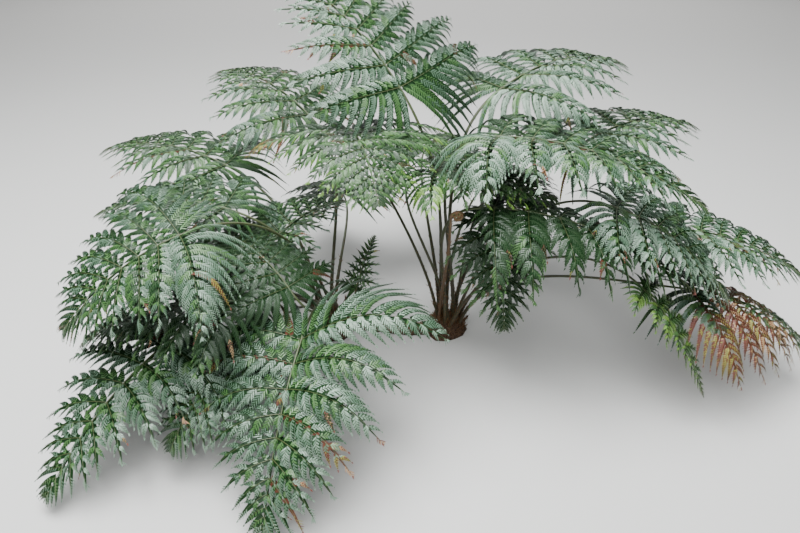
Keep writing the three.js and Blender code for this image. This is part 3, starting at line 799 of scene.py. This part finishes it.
def set_out_tree(name, materials):
    """Sets out a copy of a shape on every point, turned and sized as the point says. Points of the
    wings have no shape, and only their faces are kept."""
    tree, given, out = shape_tree(name, {
        "Shapes": ("Collection", None),
        "Length": ("Float", 1.0),
        "Width": ("Float", 1.0),
        "Flutter": ("Float", 0.1),
        "Seed": ("Int", 1),
    })
    facing = add(
        tree, "FunctionNodeAxesToRotation",
        {"Primary Axis": read(tree, "normal"), "Secondary Axis": read(tree, "direction")},
        primary_axis="Z", secondary_axis="X",
    )
    swing = add(
        tree, "ShaderNodeVectorMath", {0: shake(tree, given["Seed"]), "Scale": given["Flutter"]},
        operation="SCALE",
    )
    turn = add(tree, "FunctionNodeEulerToRotation", {0: swing.outputs[0]})
    turned = add(
        tree, "FunctionNodeRotateRotation", {0: facing.outputs[0], 1: turn.outputs[0]}, rotation_space="LOCAL"
    )
    share = add(tree, "ShaderNodeCombineXYZ", {0: given["Length"], 1: given["Width"], 2: given["Length"]})
    size = add(
        tree, "ShaderNodeVectorMath", {0: read(tree, "size"), 1: share.outputs[0]}, operation="MULTIPLY"
    )
    shape = read(tree, "shape", "INT")
    bears = add(
        tree, "FunctionNodeCompare", {2: shape, 3: NO_SEGMENT}, data_type="INT",
        operation="GREATER_THAN",
    )
    copies = add(tree, "GeometryNodeInstanceOnPoints", {
        "Points": given["Geometry"], "Selection": bears.outputs[0],
        "Instance": pick(tree, given["Shapes"]), "Pick Instance": True, "Instance Index": shape,
        "Rotation": turned.outputs[0], "Scale": size.outputs[0],
    })
    wings = add(
        tree, "GeometryNodeDeleteGeometry",
        {"Geometry": given["Geometry"], "Selection": bears.outputs[0]},
    )
    both = add(tree, "GeometryNodeJoinGeometry")
    tree.links.new(wings.outputs[0], both.inputs[0])
    tree.links.new(copies.outputs[0], both.inputs[0])
    finish_tree(tree, both.outputs[0], materials, out)
    return tree


def ribs_tree(name, materials):
    """Thickens lines into round ribs with the radius that each point says."""
    tree, given, out = shape_tree(name, {"Sides": ("Int", 5), "Thickness": ("Float", 1.0)})
    radius = add(
        tree, "ShaderNodeMath", {0: read(tree, "thick", "FLOAT"), 1: given["Thickness"]},
        operation="MULTIPLY",
    )
    lines = add(tree, "GeometryNodeMeshToCurve", {"Mesh": given["Geometry"]})
    section = add(tree, "GeometryNodeCurvePrimitiveCircle", {"Resolution": given["Sides"], "Radius": 1.0})
    tube = add(tree, "GeometryNodeCurveToMesh", {
        "Curve": lines.outputs[0], "Profile Curve": section.outputs[0], "Scale": radius.outputs[0],
        "Fill Caps": True,
    })
    finish_tree(tree, tube.outputs[0], materials, out)
    return tree


def scatter_tree(name, materials):
    """Scatters scales over a surface, leaning along the direction that the surface says."""
    tree, given, out = shape_tree(name, {
        "Shapes": ("Collection", None),
        "Density": ("Float", 26000.0),
        "Shortest": ("Float", 6 * MM),
        "Longest": ("Float", 15 * MM),
        "Slimness": ("Float", 0.16),
        "Lift": ("Float", 0.35),
        "Stray": ("Float", 0.35),
        "Seed": ("Int", 1),
    })
    density = add(
        tree, "ShaderNodeMath", {0: given["Density"], 1: read(tree, "shaggy", "FLOAT")},
        operation="MULTIPLY",
    )
    spots = add(
        tree, "GeometryNodeDistributePointsOnFaces",
        {"Mesh": given["Geometry"], "Density": density.outputs[0], "Seed": given["Seed"]},
    )
    lifted = add(
        tree, "ShaderNodeVectorMath",
        {0: spots.outputs["Normal"], 1: given["Lift"], 2: read(tree, "grain")}, operation="MULTIPLY_ADD",
    )
    lean = add(
        tree, "ShaderNodeVectorMath",
        {0: shake(tree, given["Seed"]), 1: given["Stray"], 2: lifted.outputs[0]},
        operation="MULTIPLY_ADD",
    )
    facing = add(
        tree, "FunctionNodeAxesToRotation",
        {"Primary Axis": lean.outputs[0], "Secondary Axis": spots.outputs["Normal"]},
        primary_axis="X", secondary_axis="Z",
    )
    length = add(
        tree, "FunctionNodeRandomValue",
        {2: given["Shortest"], 3: given["Longest"], "Seed": given["Seed"]}, data_type="FLOAT",
    )
    build = add(tree, "ShaderNodeCombineXYZ", {0: 1.0, 1: given["Slimness"], 2: 1.0})
    size = add(
        tree, "ShaderNodeVectorMath", {0: build.outputs[0], "Scale": length.outputs[1]}, operation="SCALE"
    )
    copies = add(tree, "GeometryNodeInstanceOnPoints", {
        "Points": spots.outputs["Points"], "Instance": pick(tree, given["Shapes"]),
        "Pick Instance": True, "Rotation": facing.outputs[0], "Scale": size.outputs[0],
    })
    finish_tree(tree, copies.outputs[0], materials, out)
    return tree


def grow(name, source, tree, **values):
    """Runs a tree on an object and gives the result as a plain mesh. The object is used up."""
    modifier = source.modifiers.new(tree.name, "NODES")
    modifier.node_group = tree
    for item in tree.interface.items_tree:
        if item.in_out == "INPUT" and item.name in values:
            modifier[item.identifier] = values[item.name]
    evaluated = source.evaluated_get(bpy.context.evaluated_depsgraph_get())
    mesh = bpy.data.meshes.new_from_object(evaluated)
    source.modifiers.remove(modifier)
    bpy.data.objects.remove(source)
    for label in WORKING_ATTRIBUTES:
        if label in mesh.attributes:
            mesh.attributes.remove(mesh.attributes[label])
    mesh.name = name
    return mesh


def link(name, mesh):
    """A mesh as an object of the scene."""
    made = bpy.data.objects.new(name, mesh)
    bpy.context.scene.collection.objects.link(made)
    return made


def dress(name, mesh, slot, *nodes):
    """Shows a mesh as a piece of the fern that stands for the given solids."""
    piece = link(name, mesh)
    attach(piece, "root")
    if nodes:
        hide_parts(*nodes)


def store(mesh, label, kind, values):
    """Adds an attribute to a mesh's points."""
    field = {"FLOAT_VECTOR": "vector"}.get(kind, "value")
    mesh.attributes.new(label, kind, "POINT").data.foreach_set(field, np.asarray(values).ravel())


# Shapes that are set out many times

def leaf_shape(name, forward, rows, bend, arch, drop, cup):
    """A blade of unit length and width along +X. rows gives the share along and the half-widths
    behind and ahead of its vein, and forward is the side, +Y or -Y, that it curves to."""
    points = []
    for t, behind, ahead in rows:
        height = arch * math.sin(math.pi * t) - drop * t * t
        middle = forward * bend * t * t
        points.append((t, middle - forward * behind, height - cup * behind))
        points.append((t, middle, height))
        points.append((t, middle + forward * ahead, height - cup * ahead))
    points.append((1, forward * bend, -drop))
    faces = []
    for row in range(len(rows) - 1):
        a = 3 * row
        faces += [(a, a + 1, a + 4, a + 3), (a + 1, a + 2, a + 5, a + 4)]
    last = 3 * (len(rows) - 1)
    faces += [(last, last + 1, last + 3), (last + 1, last + 2, last + 3)]
    if forward > 0:
        faces = [face[::-1] for face in faces]
    mesh = bpy.data.meshes.new(name)
    mesh.from_pydata(points, [], faces)
    return bpy.data.objects.new(name, mesh)


def shape_set(name, shapes):
    """A collection for a tree to pick from. It numbers the shapes in the order of their names."""
    made = bpy.data.collections.new(name)
    for shape in shapes:
        made.objects.link(shape)
    return made


# Outlines of a segment with teeth and of shorter ones, and of a papery scale
TOOTHED = [(0.0, 0.34, 0.34), (0.25, 0.50, 0.48), (0.62, 0.42, 0.38), (0.66, 0.33, 0.29)]
PLAIN = [(0.0, 0.36, 0.36), (0.30, 0.50, 0.48), (0.70, 0.32, 0.30)]
SMALL = [(0.0, 0.34, 0.34), (0.42, 0.50, 0.46)]
SLIM = [(0.0, 0.5, 0.5), (0.4, 0.42, 0.42), (0.75, 0.2, 0.2)]


def segment_shapes():
    """Segments of three lengths, and of each one that curves to the right and one to the left."""
    shapes = []
    for rows, arch, drop in ((TOOTHED, 0.05, 0.10), (PLAIN, 0.04, 0.08), (SMALL, 0.04, 0.08)):
        for forward in (-1, 1):
            name = f"segment_{len(shapes)}"
            shapes.append(leaf_shape(name, forward, rows, bend=0.30, arch=arch, drop=drop, cup=0.10))
    return shape_set("segment_shapes", shapes)


# Finishes

def finish_base(name, **sockets):
    """A material with its shader's own sockets set, and its node tree, coordinates and shader."""
    made = bpy.data.materials.new(name)
    made.use_nodes = True
    tree = made.node_tree
    shader = tree.nodes["Principled BSDF"]
    for label, value in sockets.items():
        shader.inputs[label.replace("_", " ")].default_value = value
    coordinates = add(tree, "ShaderNodeTexCoord").outputs["Object"]
    return made, tree, coordinates, shader


def roughen(tree, shader, height, strength, depth):
    """Lets an output that gives a height rise and fall on a shader's surface."""
    bump = add(tree, "ShaderNodeBump", {"Height": height, "Strength": strength, "Distance": depth})
    tree.links.new(bump.outputs[0], shader.inputs["Normal"])


def gloss_between(tree, shader, share, least, most):
    """Lets a shader's roughness follow an output."""
    gloss = add(tree, "ShaderNodeMapRange", {"Value": share, "To Min": least, "To Max": most})
    tree.links.new(gloss.outputs[0], shader.inputs["Roughness"])


def colour_between(tree, shader, share, first, last):
    """Lets a shader's colour follow an output, between two places and the colours there."""
    ramp = add(tree, "ShaderNodeValToRGB", {0: share})
    for element, (place, colour) in zip(ramp.color_ramp.elements, (first, last)):
        element.position = place
        element.color = (*colour, 1)
    tree.links.new(ramp.outputs[0], shader.inputs["Base Color"])


def leaf_finish(name, colour, sheen, coat, gleam=0.4):
    """Leathery leaf: a plain colour under fine grain and a soft, uneven gloss."""
    made, tree, place, shader = finish_base(
        name, Base_Color=(*colour, 1), Specular_IOR_Level=gleam, Sheen_Weight=sheen,
        Sheen_Roughness=0.5, Sheen_Tint=(0.75, 0.95, 0.80, 1), Coat_Weight=coat, Coat_Roughness=0.28,
    )
    patches = add(tree, "ShaderNodeTexNoise", {"Vector": place, "Scale": 140.0, "Detail": 3.0})
    grain = add(tree, "ShaderNodeTexNoise", {"Vector": place, "Scale": 1400.0, "Detail": 2.0})
    gloss_between(tree, shader, patches.outputs[0], 0.30, 0.52)
    roughen(tree, shader, grain.outputs[0], 0.35, 0.25 * MM)
    return made


def limb_finish(name, foot, top, top_reach):
    """Limbs: dark and scaly at the foot, paler upwards, with fine streaks along their length."""
    made, tree, _, shader = finish_base(name, Specular_IOR_Level=0.45, Coat_Weight=0.12, Coat_Roughness=0.3)
    place = add(tree, "ShaderNodeAttribute", attribute_name="straight").outputs["Vector"]
    reach = add(tree, "ShaderNodeAttribute", attribute_name="reach").outputs["Fac"]
    share = add(
        tree, "ShaderNodeMapRange",
        {"Value": reach, "From Min": 0.0, "From Max": top_reach, "To Min": 0.0, "To Max": 1.0},
    )
    blotch = add(
        tree, "ShaderNodeTexNoise", {"Vector": place, "Scale": 45.0, "Detail": 5.0, "Roughness": 0.65}
    ).outputs[0]
    mottled = add(
        tree, "ShaderNodeMath", {0: share.outputs[0], 1: blotch, 2: blotch}, operation="MULTIPLY_ADD"
    )
    stretch = add(tree, "ShaderNodeMapping", {"Vector": place, "Scale": (900.0, 900.0, 60.0)})
    streaks = add(tree, "ShaderNodeTexNoise", {"Vector": stretch.outputs[0], "Scale": 1.0, "Detail": 2.0})
    colour_between(tree, shader, mottled.outputs[0], (0.30, foot), (0.95, top))
    gloss_between(tree, shader, streaks.outputs[0], 0.35, 0.65)
    roughen(tree, shader, streaks.outputs[0], 0.6, 0.4 * MM)
    return made


def bark_finish(name, dark, light, grain_size, roughness):
    """Rootstock and scales: fibrous and matt, mottled between two browns."""
    made, tree, place, shader = finish_base(name, Roughness=roughness, Specular_IOR_Level=0.25)
    mottle = add(
        tree, "ShaderNodeTexNoise",
        {"Vector": place, "Scale": 1 / grain_size, "Detail": 6.0, "Roughness": 0.7},
    )
    colour_between(tree, shader, mottle.outputs[0], (0.34, dark), (0.68, light))
    roughen(tree, shader, mottle.outputs[0], 0.7, 1.2 * MM)
    return made


# The numbers in a frond's colour attribute are places in this list: the segments', and the wings', whose dark
# colours are painted shade
LEAF_FINISHES = [
    leaf_finish(f"leaf_{name}", colour, sheen=0.05, coat=0.35) for name, colour in LEAF_COLOURS.items()
]
# Matt wings in the dark colours of painted shade
LEAF_FINISHES += [
    leaf_finish(f"wing_{name}", colour, sheen=0.0, coat=0.0, gleam=0.1)
    for name, colour in WING_SHADE_COLOURS.items()
]
STALK = limb_finish("stalk", (0.036, 0.019, 0.011), (0.044, 0.064, 0.019), 1.2)
CROZIER = limb_finish("crozier", (0.050, 0.026, 0.014), (0.125, 0.075, 0.030), 1.0)
COSTA = leaf_finish("costa", (0.060, 0.075, 0.024), 0.0, 0.2)
COSTULE = leaf_finish("costule", (0.040, 0.085, 0.026), 0.0, 0.2)
BARK = bark_finish("rootstock", (0.020, 0.011, 0.007), (0.105, 0.062, 0.036), 9 * MM, 0.85)
CHAFF = bark_finish("chaff", (0.085, 0.040, 0.018), (0.260, 0.140, 0.065), 5 * MM, 0.55)
BUD_FINISHES = [
    CHAFF,
    leaf_finish("bud_brown", (0.150, 0.085, 0.035), 0.05, 0.1),
    leaf_finish("bud_green", (0.110, 0.120, 0.035), 0.05, 0.1),
]


# Stalks, young frond and rootstock

class Surface(NamedTuple):
    """A closed skin: its points and faces, each point's place on the straightened limb, share of
    the way along it, direction that scales lie in, and how thickly they stand."""

    points: np.ndarray
    faces: list
    straight: np.ndarray
    reach: np.ndarray
    grain: np.ndarray
    shaggy: np.ndarray


def mesh_of(name, surface, finish=None):
    """A skin as a mesh. One without a finish keeps what the scales are scattered by."""
    mesh = bpy.data.meshes.new(name)
    mesh.from_pydata(surface.points, [], surface.faces)
    shape = bmesh.new()
    shape.from_mesh(mesh)
    bmesh.ops.recalc_face_normals(shape, faces=shape.faces)
    shape.to_mesh(mesh)
    shape.free()
    mesh.shade_smooth()
    store(mesh, "straight", "FLOAT_VECTOR", surface.straight)
    store(mesh, "reach", "FLOAT", surface.reach)
    store(mesh, "grain", "FLOAT_VECTOR", surface.grain)
    store(mesh, "shaggy", "FLOAT", surface.shaggy)
    if finish:
        mesh.materials.append(finish)
        for label in ("grain", "shaggy"):
            mesh.attributes.remove(mesh.attributes[label])
    return mesh


def joined(surfaces):
    """Several skins as one."""
    starts = np.cumsum([0] + [len(surface.points) for surface in surfaces])
    faces = [
        [start + i for i in face] for start, surface in zip(starts, surfaces) for face in surface.faces
    ]
    fields = [np.concatenate(field) for field in zip(*(surface[2:] for surface in surfaces))]
    return Surface(np.concatenate([surface.points for surface in surfaces]), faces, *fields)


def limb_surface(points, last_up, radii, reach, shaggy, groove):
    """A limb along a path, with a groove on its upper side, ridges and lumps. last_up is the upper
    side at its far end."""
    along = unit(np.gradient(points, axis=0))
    ups = np.empty_like(points)
    up = last_up
    for i in reversed(range(len(points))):
        up = unit(up - along[i] * (along[i] @ up))
        ups[i] = up
    run = run_along(points)
    turn = np.arange(LIMB_SIDES) * 2 * math.pi / LIMB_SIDES
    dip = np.exp(-((turn - math.pi / 2) / GROOVE_WIDTH) ** 2)
    ridge = LIMB_RIDGE_DEPTH * np.cos(LIMB_RIDGES * turn)
    skin = []
    straight = []
    for i, (point, radius) in enumerate(zip(points, radii)):
        flat = np.stack([np.cos(turn), np.sin(turn)], 1)
        level = np.hstack([flat * radius, np.full((LIMB_SIDES, 1), run[i])])
        lumps = np.array([noise.noise(Vector(place + points[0]) / LUMP_SIZE) for place in level])
        size = radius * (1 + ridge - groove[i] * dip + LIMB_LUMPS * lumps)
        side = np.cross(along[i], ups[i])
        skin.append(point + size[:, None] * (flat @ np.stack([side, ups[i]])))
        straight.append(level)
    faces = [list(range(LIMB_SIDES)), list(range(len(points) * LIMB_SIDES))[-LIMB_SIDES:]]
    for i in range(len(points) - 1):
        for j in range(LIMB_SIDES):
            a, b = i * LIMB_SIDES + j, i * LIMB_SIDES + (j + 1) % LIMB_SIDES
            faces.append([a, b, b + LIMB_SIDES, a + LIMB_SIDES])
    each = [np.repeat(field, LIMB_SIDES, 0) for field in (reach, along, shaggy)]
    return Surface(np.concatenate(skin), faces, np.concatenate(straight), *each)


def stalk_path(crown, foot, end, arrival):
    """A stalk's middle line, from its crown to end, where its direction is arrival. The lower it
    ends, the further out in the crown it starts."""
    out = np.array([math.cos(math.radians(foot)), math.sin(math.radians(foot)), 0.0])
    start = CROWNS[crown] + out * (STALK_RING - STALK_RING_DROP * end[2])
    start[2] = STALK_FOOT_HEIGHT
    reach = np.linalg.norm(end - start)
    risen = start + (end - start) * [1, 1, 0] * STALK_LEAN - DOWN * STALK_RISE * reach
    arrive = end - arrival * STALK_ARRIVAL * reach
    t = np.linspace(0, 1, STALK_STEPS + 1)[:, None]
    return start * (1 - t) ** 3 + risen * 3 * t * (1 - t) ** 2 + arrive * 3 * t * t * (1 - t) + end * t ** 3


def foot_fields(points):
    """How swollen and how shaggy a stalk is at each point of its path."""
    run = run_along(points)
    return 1 + FOOT_SWELLING * np.exp(-run / FOOT_SPREAD), np.exp(-((run / SHAGGY_LENGTH) ** 2))


def stalk_surface(name):
    """A stalk, carried on as its blade's rib: share 0 at the foot, 1 at the blade, 2 at the tip."""
    frond = FRONDS[name]
    blade = rib_of(frond)
    stalk = stalk_path(frond["crown"], frond["foot"], np.array(frond["base"]) * MM, blade.along[0])
    points = np.vstack([stalk, blade.points[1:]])
    swelling, shaggy = foot_fields(points)
    t = np.linspace(0, 1, STALK_STEPS + 1)
    tip = np.linspace(0, 1, RIB_STEPS + 1)[1:]
    top = STALK_TOP_RADIUS * scale_of(name)
    radii = np.concatenate([
        mix(STALK_FOOT_RADIUS * scale_of(name), top, t),
        mix(top, RACHIS_TIP_RADIUS, tip ** RACHIS_TAPER_POWER),
    ])
    reach = np.concatenate([t, 1 + tip])
    groove = GROOVE_DEPTH * np.clip(GROOVE_DEEPENING * (reach - GROOVE_START), 0, 1)
    return limb_surface(points, blade.up[-1], radii * swelling, reach, shaggy, groove)


def coil_points(share):
    """Points at shares of the way along the crozier's coil, from its rim inwards."""
    turns = share * CROZIER_TURNS
    radius = CROZIER_COIL_RADIUS - CROZIER_TURN_SPACING * turns
    angle = turns * 2 * math.pi
    ring = np.stack([-np.cos(angle), np.zeros(len(angle)), np.sin(angle)], 1)
    return CROZIER_CENTRE + radius[:, None] * ring


def crozier_surface():
    """The young frond: a shaggy stalk whose end is rolled up."""
    rim = CROZIER_CENTRE - np.array([CROZIER_COIL_RADIUS, 0.0, 0.0])
    stalk = stalk_path(CROZIER_CROWN, CROZIER_FOOT, rim, -DOWN)
    points = np.vstack([stalk, coil_points(np.linspace(0, 1, CROZIER_COIL_STEPS + 1)[1:])])
    t = np.linspace(0, 1, len(points))
    swelling, _ = foot_fields(points)
    radii = mix(CROZIER_STEM_RADIUS, CROZIER_TIP_RADIUS, t * t) * swelling
    shaggy = mix(CROZIER_LEAST_SHAGGY, 1, np.abs(2 * t - 1))
    groove = np.full(len(points), CROZIER_GROOVE)
    return limb_surface(points, np.array([0.0, 1.0, 0.0]), radii, t, shaggy, groove)


def crozier_buds(shapes):
    """The rolled leaflets, as rows of folded buds on both sides of the coil."""
    share = np.linspace(*BUD_REACH, BUD_PLACES)
    place = coil_points(share)
    ahead = unit(coil_points(share + BUD_STEP) - place)
    rows = []
    for hand, inward in BUD_ROWS:
        out = np.array([0.0, hand, 0.0])
        rim = np.cross(ahead, out) * hand
        direction = unit(ahead + out * BUD_SPREAD - rim * inward)
        length = BUD_LENGTH * (1 - BUD_SHRINKING * share)[:, None]
        rows.append((
            place + out * BUD_OFFSET, direction, unit(out + rim * BUD_SPREAD), length * BUD_PLUMPNESS,
        ))
    place, direction, normal, size = (np.concatenate(part) for part in zip(*rows))
    source = point_object(
        "bud_points", place, direction=("FLOAT_VECTOR", direction), normal=("FLOAT_VECTOR", normal),
        size=("FLOAT_VECTOR", size), shape=("INT", np.resize(BUD_SHAPES, len(place))),
        colour=("INT", np.resize(BUD_COLOURS, len(place))),
    )
    tree = set_out_tree("set_out_buds", BUD_FINISHES)
    mesh = grow("crozier_buds", source, tree, Shapes=shapes, Length=1.0, Width=1.0, Flutter=0.3, Seed=5)
    dress("crozier_buds", mesh, "crozier")


def add_leaf_bases(shape):
    """Stubs of fallen stalks, in rows round each crown, the outer rows lying flatter."""
    for crown, centre in enumerate(CROWNS.values()):
        for row, (ring, height, count, lean) in enumerate(LEAF_BASE_ROWS):
            for i in range(count):
                turn = (i + 0.5 * row + 0.5 * chance(i, row, crown)) * 2 * math.pi / count
                tilt = math.radians(lean + LEAF_BASE_STRAY * (chance(i, crown, row + 5) - 0.5))
                length = LEAF_BASE_LENGTH * mix(*LEAF_BASE_VARY, chance(row, i, crown + 2))
                place = centre + np.array([math.cos(turn) * ring, math.sin(turn) * ring, height])
                made = bmesh.ops.create_cone(
                    shape, cap_ends=True, segments=8, radius1=LEAF_BASE_RADII[0],
                    radius2=LEAF_BASE_RADII[1], depth=length,
                )
                turned = Euler((0, tilt, turn)).to_matrix().to_4x4()
                turned.translation = Vector(place)
                bmesh.ops.transform(shape, matrix=turned, verts=made["verts"])


def rootstock_surface():
    """The rootstock's solid with old leaf bases, blended into one skin with a fibrous relief. Its
    underside stays flat, and its scales point outwards and up."""
    shape = bmesh.new()
    shape.from_mesh(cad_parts["rootstock"].data)
    bmesh.ops.remove_doubles(shape, verts=shape.verts, dist=0.01 * MM)
    add_leaf_bases(shape)
    mesh = bpy.data.meshes.new("rootstock_form")
    shape.to_mesh(mesh)
    shape.free()
    form = link("rootstock_form", mesh)
    blend = form.modifiers.new("blend", "REMESH")
    blend.mode = "VOXEL"
    blend.voxel_size = ROOTSTOCK_VOXEL
    skin = bpy.data.meshes.new_from_object(form.evaluated_get(bpy.context.evaluated_depsgraph_get()))
    bpy.data.objects.remove(form)
    points = np.array([vertex.co for vertex in skin.vertices])
    normals = np.array([vertex.normal for vertex in skin.vertices])
    for size, depth in ROOTSTOCK_RELIEF:
        bumps = np.array([noise.noise(Vector(point) / size) for point in points])
        points = points + normals * (depth * bumps * (points[:, 2] > FLAT_HEIGHT))[:, None]
    points[:, 2] = np.where(points[:, 2] < FLAT_HEIGHT, 0, points[:, 2])
    out = (points - np.where(points[:, :1] > 0, CROWNS["right"], CROWNS["left"])) * [1, 1, 0]
    grain = unit(out + 0.1 * MM) * SCALE_SPREAD - DOWN
    faces = [list(face.vertices) for face in skin.polygons]
    shaggy = np.clip(points[:, 2] / SHAGGY_HEIGHT, 0, 1) * (normals[:, 2] > SCALELESS_SLOPE)
    return Surface(points, faces, points, np.zeros(len(points)), unit(grain), shaggy)


def make_limbs():
    """Stalks with their blades' ribs, crozier, rootstock and the scales on all of them."""
    surfaces = []
    for name in NAMES:
        surfaces.append(stalk_surface(name))
        dress(f"limb_{name}", mesh_of(f"limb_{name}", surfaces[-1], STALK), "stalk", f"stalk_{name}")
    surfaces.append(crozier_surface())
    dress("young_frond", mesh_of("young_frond", surfaces[-1], CROZIER), "crozier", "crozier")
    surfaces.append(rootstock_surface())
    dress("crowns_and_creeper", mesh_of("crowns_and_creeper", surfaces[-1], BARK), "rootstock", "rootstock")
    source = link("shaggy_skin", mesh_of("shaggy_skin", joined(surfaces)))
    shapes = shape_set("scale_shapes", [leaf_shape("scale", 1, SLIM, 0.12, 0.10, 0.16, 0.3)])
    tree = scatter_tree("scatter_scales", [CHAFF])
    scales = grow("scales", source, tree, Shapes=shapes, Seed=11)
    dress("scales", scales, "rootstock")


# Fronds

def point_object(name, points, edges=(), faces=(), **attributes):
    """An object of points, edges and faces with attributes, for a tree to be run on."""
    mesh = bpy.data.meshes.new(name)
    mesh.from_pydata(points, edges, faces)
    for label, (kind, values) in attributes.items():
        store(mesh, label, kind, values)
    return link(name, mesh)


def frond_leaves(name, strips, tree, shapes):
    """A frond's segments, and the wings that join them."""
    scale = grain_of(name)
    draws = np.random.default_rng(NAMES.index(name))
    tone = TONES[FRONDS[name]["tone"]]
    rows = [segments_on(strip, scale, tone, draws) for strip in strips]
    place, direction, normal, size, shape, colour = (np.concatenate(part) for part in zip(*rows))
    wing_points = 3 * (WING_STEPS + 1)
    wings = [wing_of(strip) for strip in strips]
    # Wings take the dark colours after the leaf colours: painted shade between the segments
    wing_shade_colours = np.repeat([len(LEAF_COLOURS) + (strip.sound < 0.5) for strip in strips], wing_points)
    unset = np.zeros((wing_points * len(wings), 3))
    faces = []
    for number, strip in enumerate(strips):
        middle = strip.rib.at(np.array([0.5]))
        flip = np.cross(middle.side[0], middle.along[0]) @ middle.up[0] > 0
        faces += wing_faces(len(place) + number * wing_points, flip)
    source = point_object(
        f"points_{name}", np.concatenate([place, *wings]), faces=faces,
        direction=("FLOAT_VECTOR", np.concatenate([direction, unset])),
        normal=("FLOAT_VECTOR", np.concatenate([normal, unset])),
        size=("FLOAT_VECTOR", np.concatenate([size, unset])),
        shape=("INT", np.concatenate([shape, np.full(len(unset), NO_SEGMENT)]).astype(np.int32)),
        colour=("INT", np.concatenate([colour, wing_shade_colours]).astype(np.int32)),
    )
    mesh = grow(
        f"leaves_{name}", source, tree, Shapes=shapes, Length=1.0, Width=1.0,
        Flutter=SEGMENT_FLUTTER, Seed=NAMES.index(name),
    )
    dress(f"leaves_{name}", mesh, "leaf", f"frond_{name}")


def frond_ribs(name, strips, tree):
    """The leaflets' ribs and the strips' ribs, as lines that the tree thickens."""
    scale = grain_of(name)
    places = []
    edges = []
    thick = []
    colours = []
    start = 0
    for strip in strips:
        k, _, way, _ = strip.place
        if k == LEAFLET_PAIRS:
            continue
        count = COSTULE_POINTS if way else COSTA_POINTS
        radius = COSTULE_RADIUS
        if way == 0:
            radius = mix(COSTULE_RADIUS, COSTA_RADIUS, min(1, strip.length / THICK_COSTA_LENGTH))
        t = np.linspace(0, RIB_END, count)
        places.append(strip.rib.at(t).points)
        edges += [(i, i + 1) for i in range(start, start + count - 1)]
        thick.append(mix(radius * scale, RIB_TIP_RADIUS, t))
        colours += [1 if way else 0] * count
        start += count
    source = point_object(
        f"lines_{name}", np.concatenate(places), edges=edges,
        thick=("FLOAT", np.concatenate(thick)), colour=("INT", colours),
    )
    dress(f"ribs_{name}", grow(f"ribs_{name}", source, tree, Sides=4, Thickness=1.0), "stalk")


def make_fronds():
    """Every frond's segments and ribs, and the crozier's buds."""
    leaves = set_out_tree("set_out_segments", LEAF_FINISHES)
    ribs = ribs_tree("thicken_ribs", [COSTA, COSTULE])
    shapes = segment_shapes()
    for name in NAMES:
        strips = list(strips_of(name))
        frond_leaves(name, strips, leaves, shapes)
        frond_ribs(name, strips, ribs)
    crozier_buds(shapes)


# Camera, floor and light

def make_camera():
    """The camera, in front of the fern and looking 30 degrees down."""
    data = bpy.data.cameras.new("camera")
    data.lens = CAMERA_LENS
    data.sensor_width = CAMERA_SENSOR
    camera = bpy.data.objects.new("camera", data)
    camera.location = CAMERA_PLACE
    camera.rotation_euler = Euler((math.radians(CAMERA_TILT), 0, 0))
    bpy.context.scene.collection.objects.link(camera)
    bpy.context.scene.camera = camera


def make_stage():
    """A plain floor."""
    mesh = bpy.data.meshes.new("floor")
    corners = [(FLOOR_REACH * x, FLOOR_REACH * y, 0) for x, y in ((-1, -1), (1, -1), (1, 1), (-1, 1))]
    mesh.from_pydata(corners, [], [(0, 1, 2, 3)])
    made, _, _, _ = finish_base("floor", Base_Color=(0.52, 0.515, 0.50, 1), Roughness=0.8)
    mesh.materials.append(made)
    link("floor", mesh)


def make_light(name, place, target, width, height, power, colour):
    """A soft light, turned to face its target."""
    data = bpy.data.lights.new(name, "AREA")
    data.shape = "RECTANGLE"
    data.size = width
    data.size_y = height
    data.energy = power
    data.color = colour
    light = bpy.data.objects.new(name, data)
    light.location = place
    light.rotation_mode = "QUATERNION"
    light.rotation_quaternion = (Vector(target) - Vector(place)).to_track_quat("-Z", "Y")
    bpy.context.scene.collection.objects.link(light)


def make_lights():
    """The light of a bright, overcast sky: strongest from above, and even all round."""
    middle = (0, 0, 0.5)
    make_light("sky_behind", (0.4, 3.8, 4.2), middle, 8.0, 4.5, 90, (0.94, 0.98, 1.0))
    make_light("sky_above", (-0.6, -0.3, 4.4), middle, 3.2, 2.6, 560, (0.97, 0.99, 1.0))
    make_light("sky_front", (-0.2, -2.8, 3.7), middle, 3.0, 2.2, 200, (0.97, 0.99, 1.0))
    make_light("far_floor", (0, 9, 5), (0, 9, 0), 12.0, 6.0, 700, (1.0, 1.0, 1.0))
    world = bpy.data.worlds.new("studio")
    world.use_nodes = True
    world.node_tree.nodes["Background"].inputs["Color"].default_value = (0.80, 0.83, 0.85, 1)
    world.node_tree.nodes["Background"].inputs["Strength"].default_value = 0.22
    bpy.context.scene.world = world


make_camera()
make_stage()
make_lights()
make_fronds()
make_limbs()
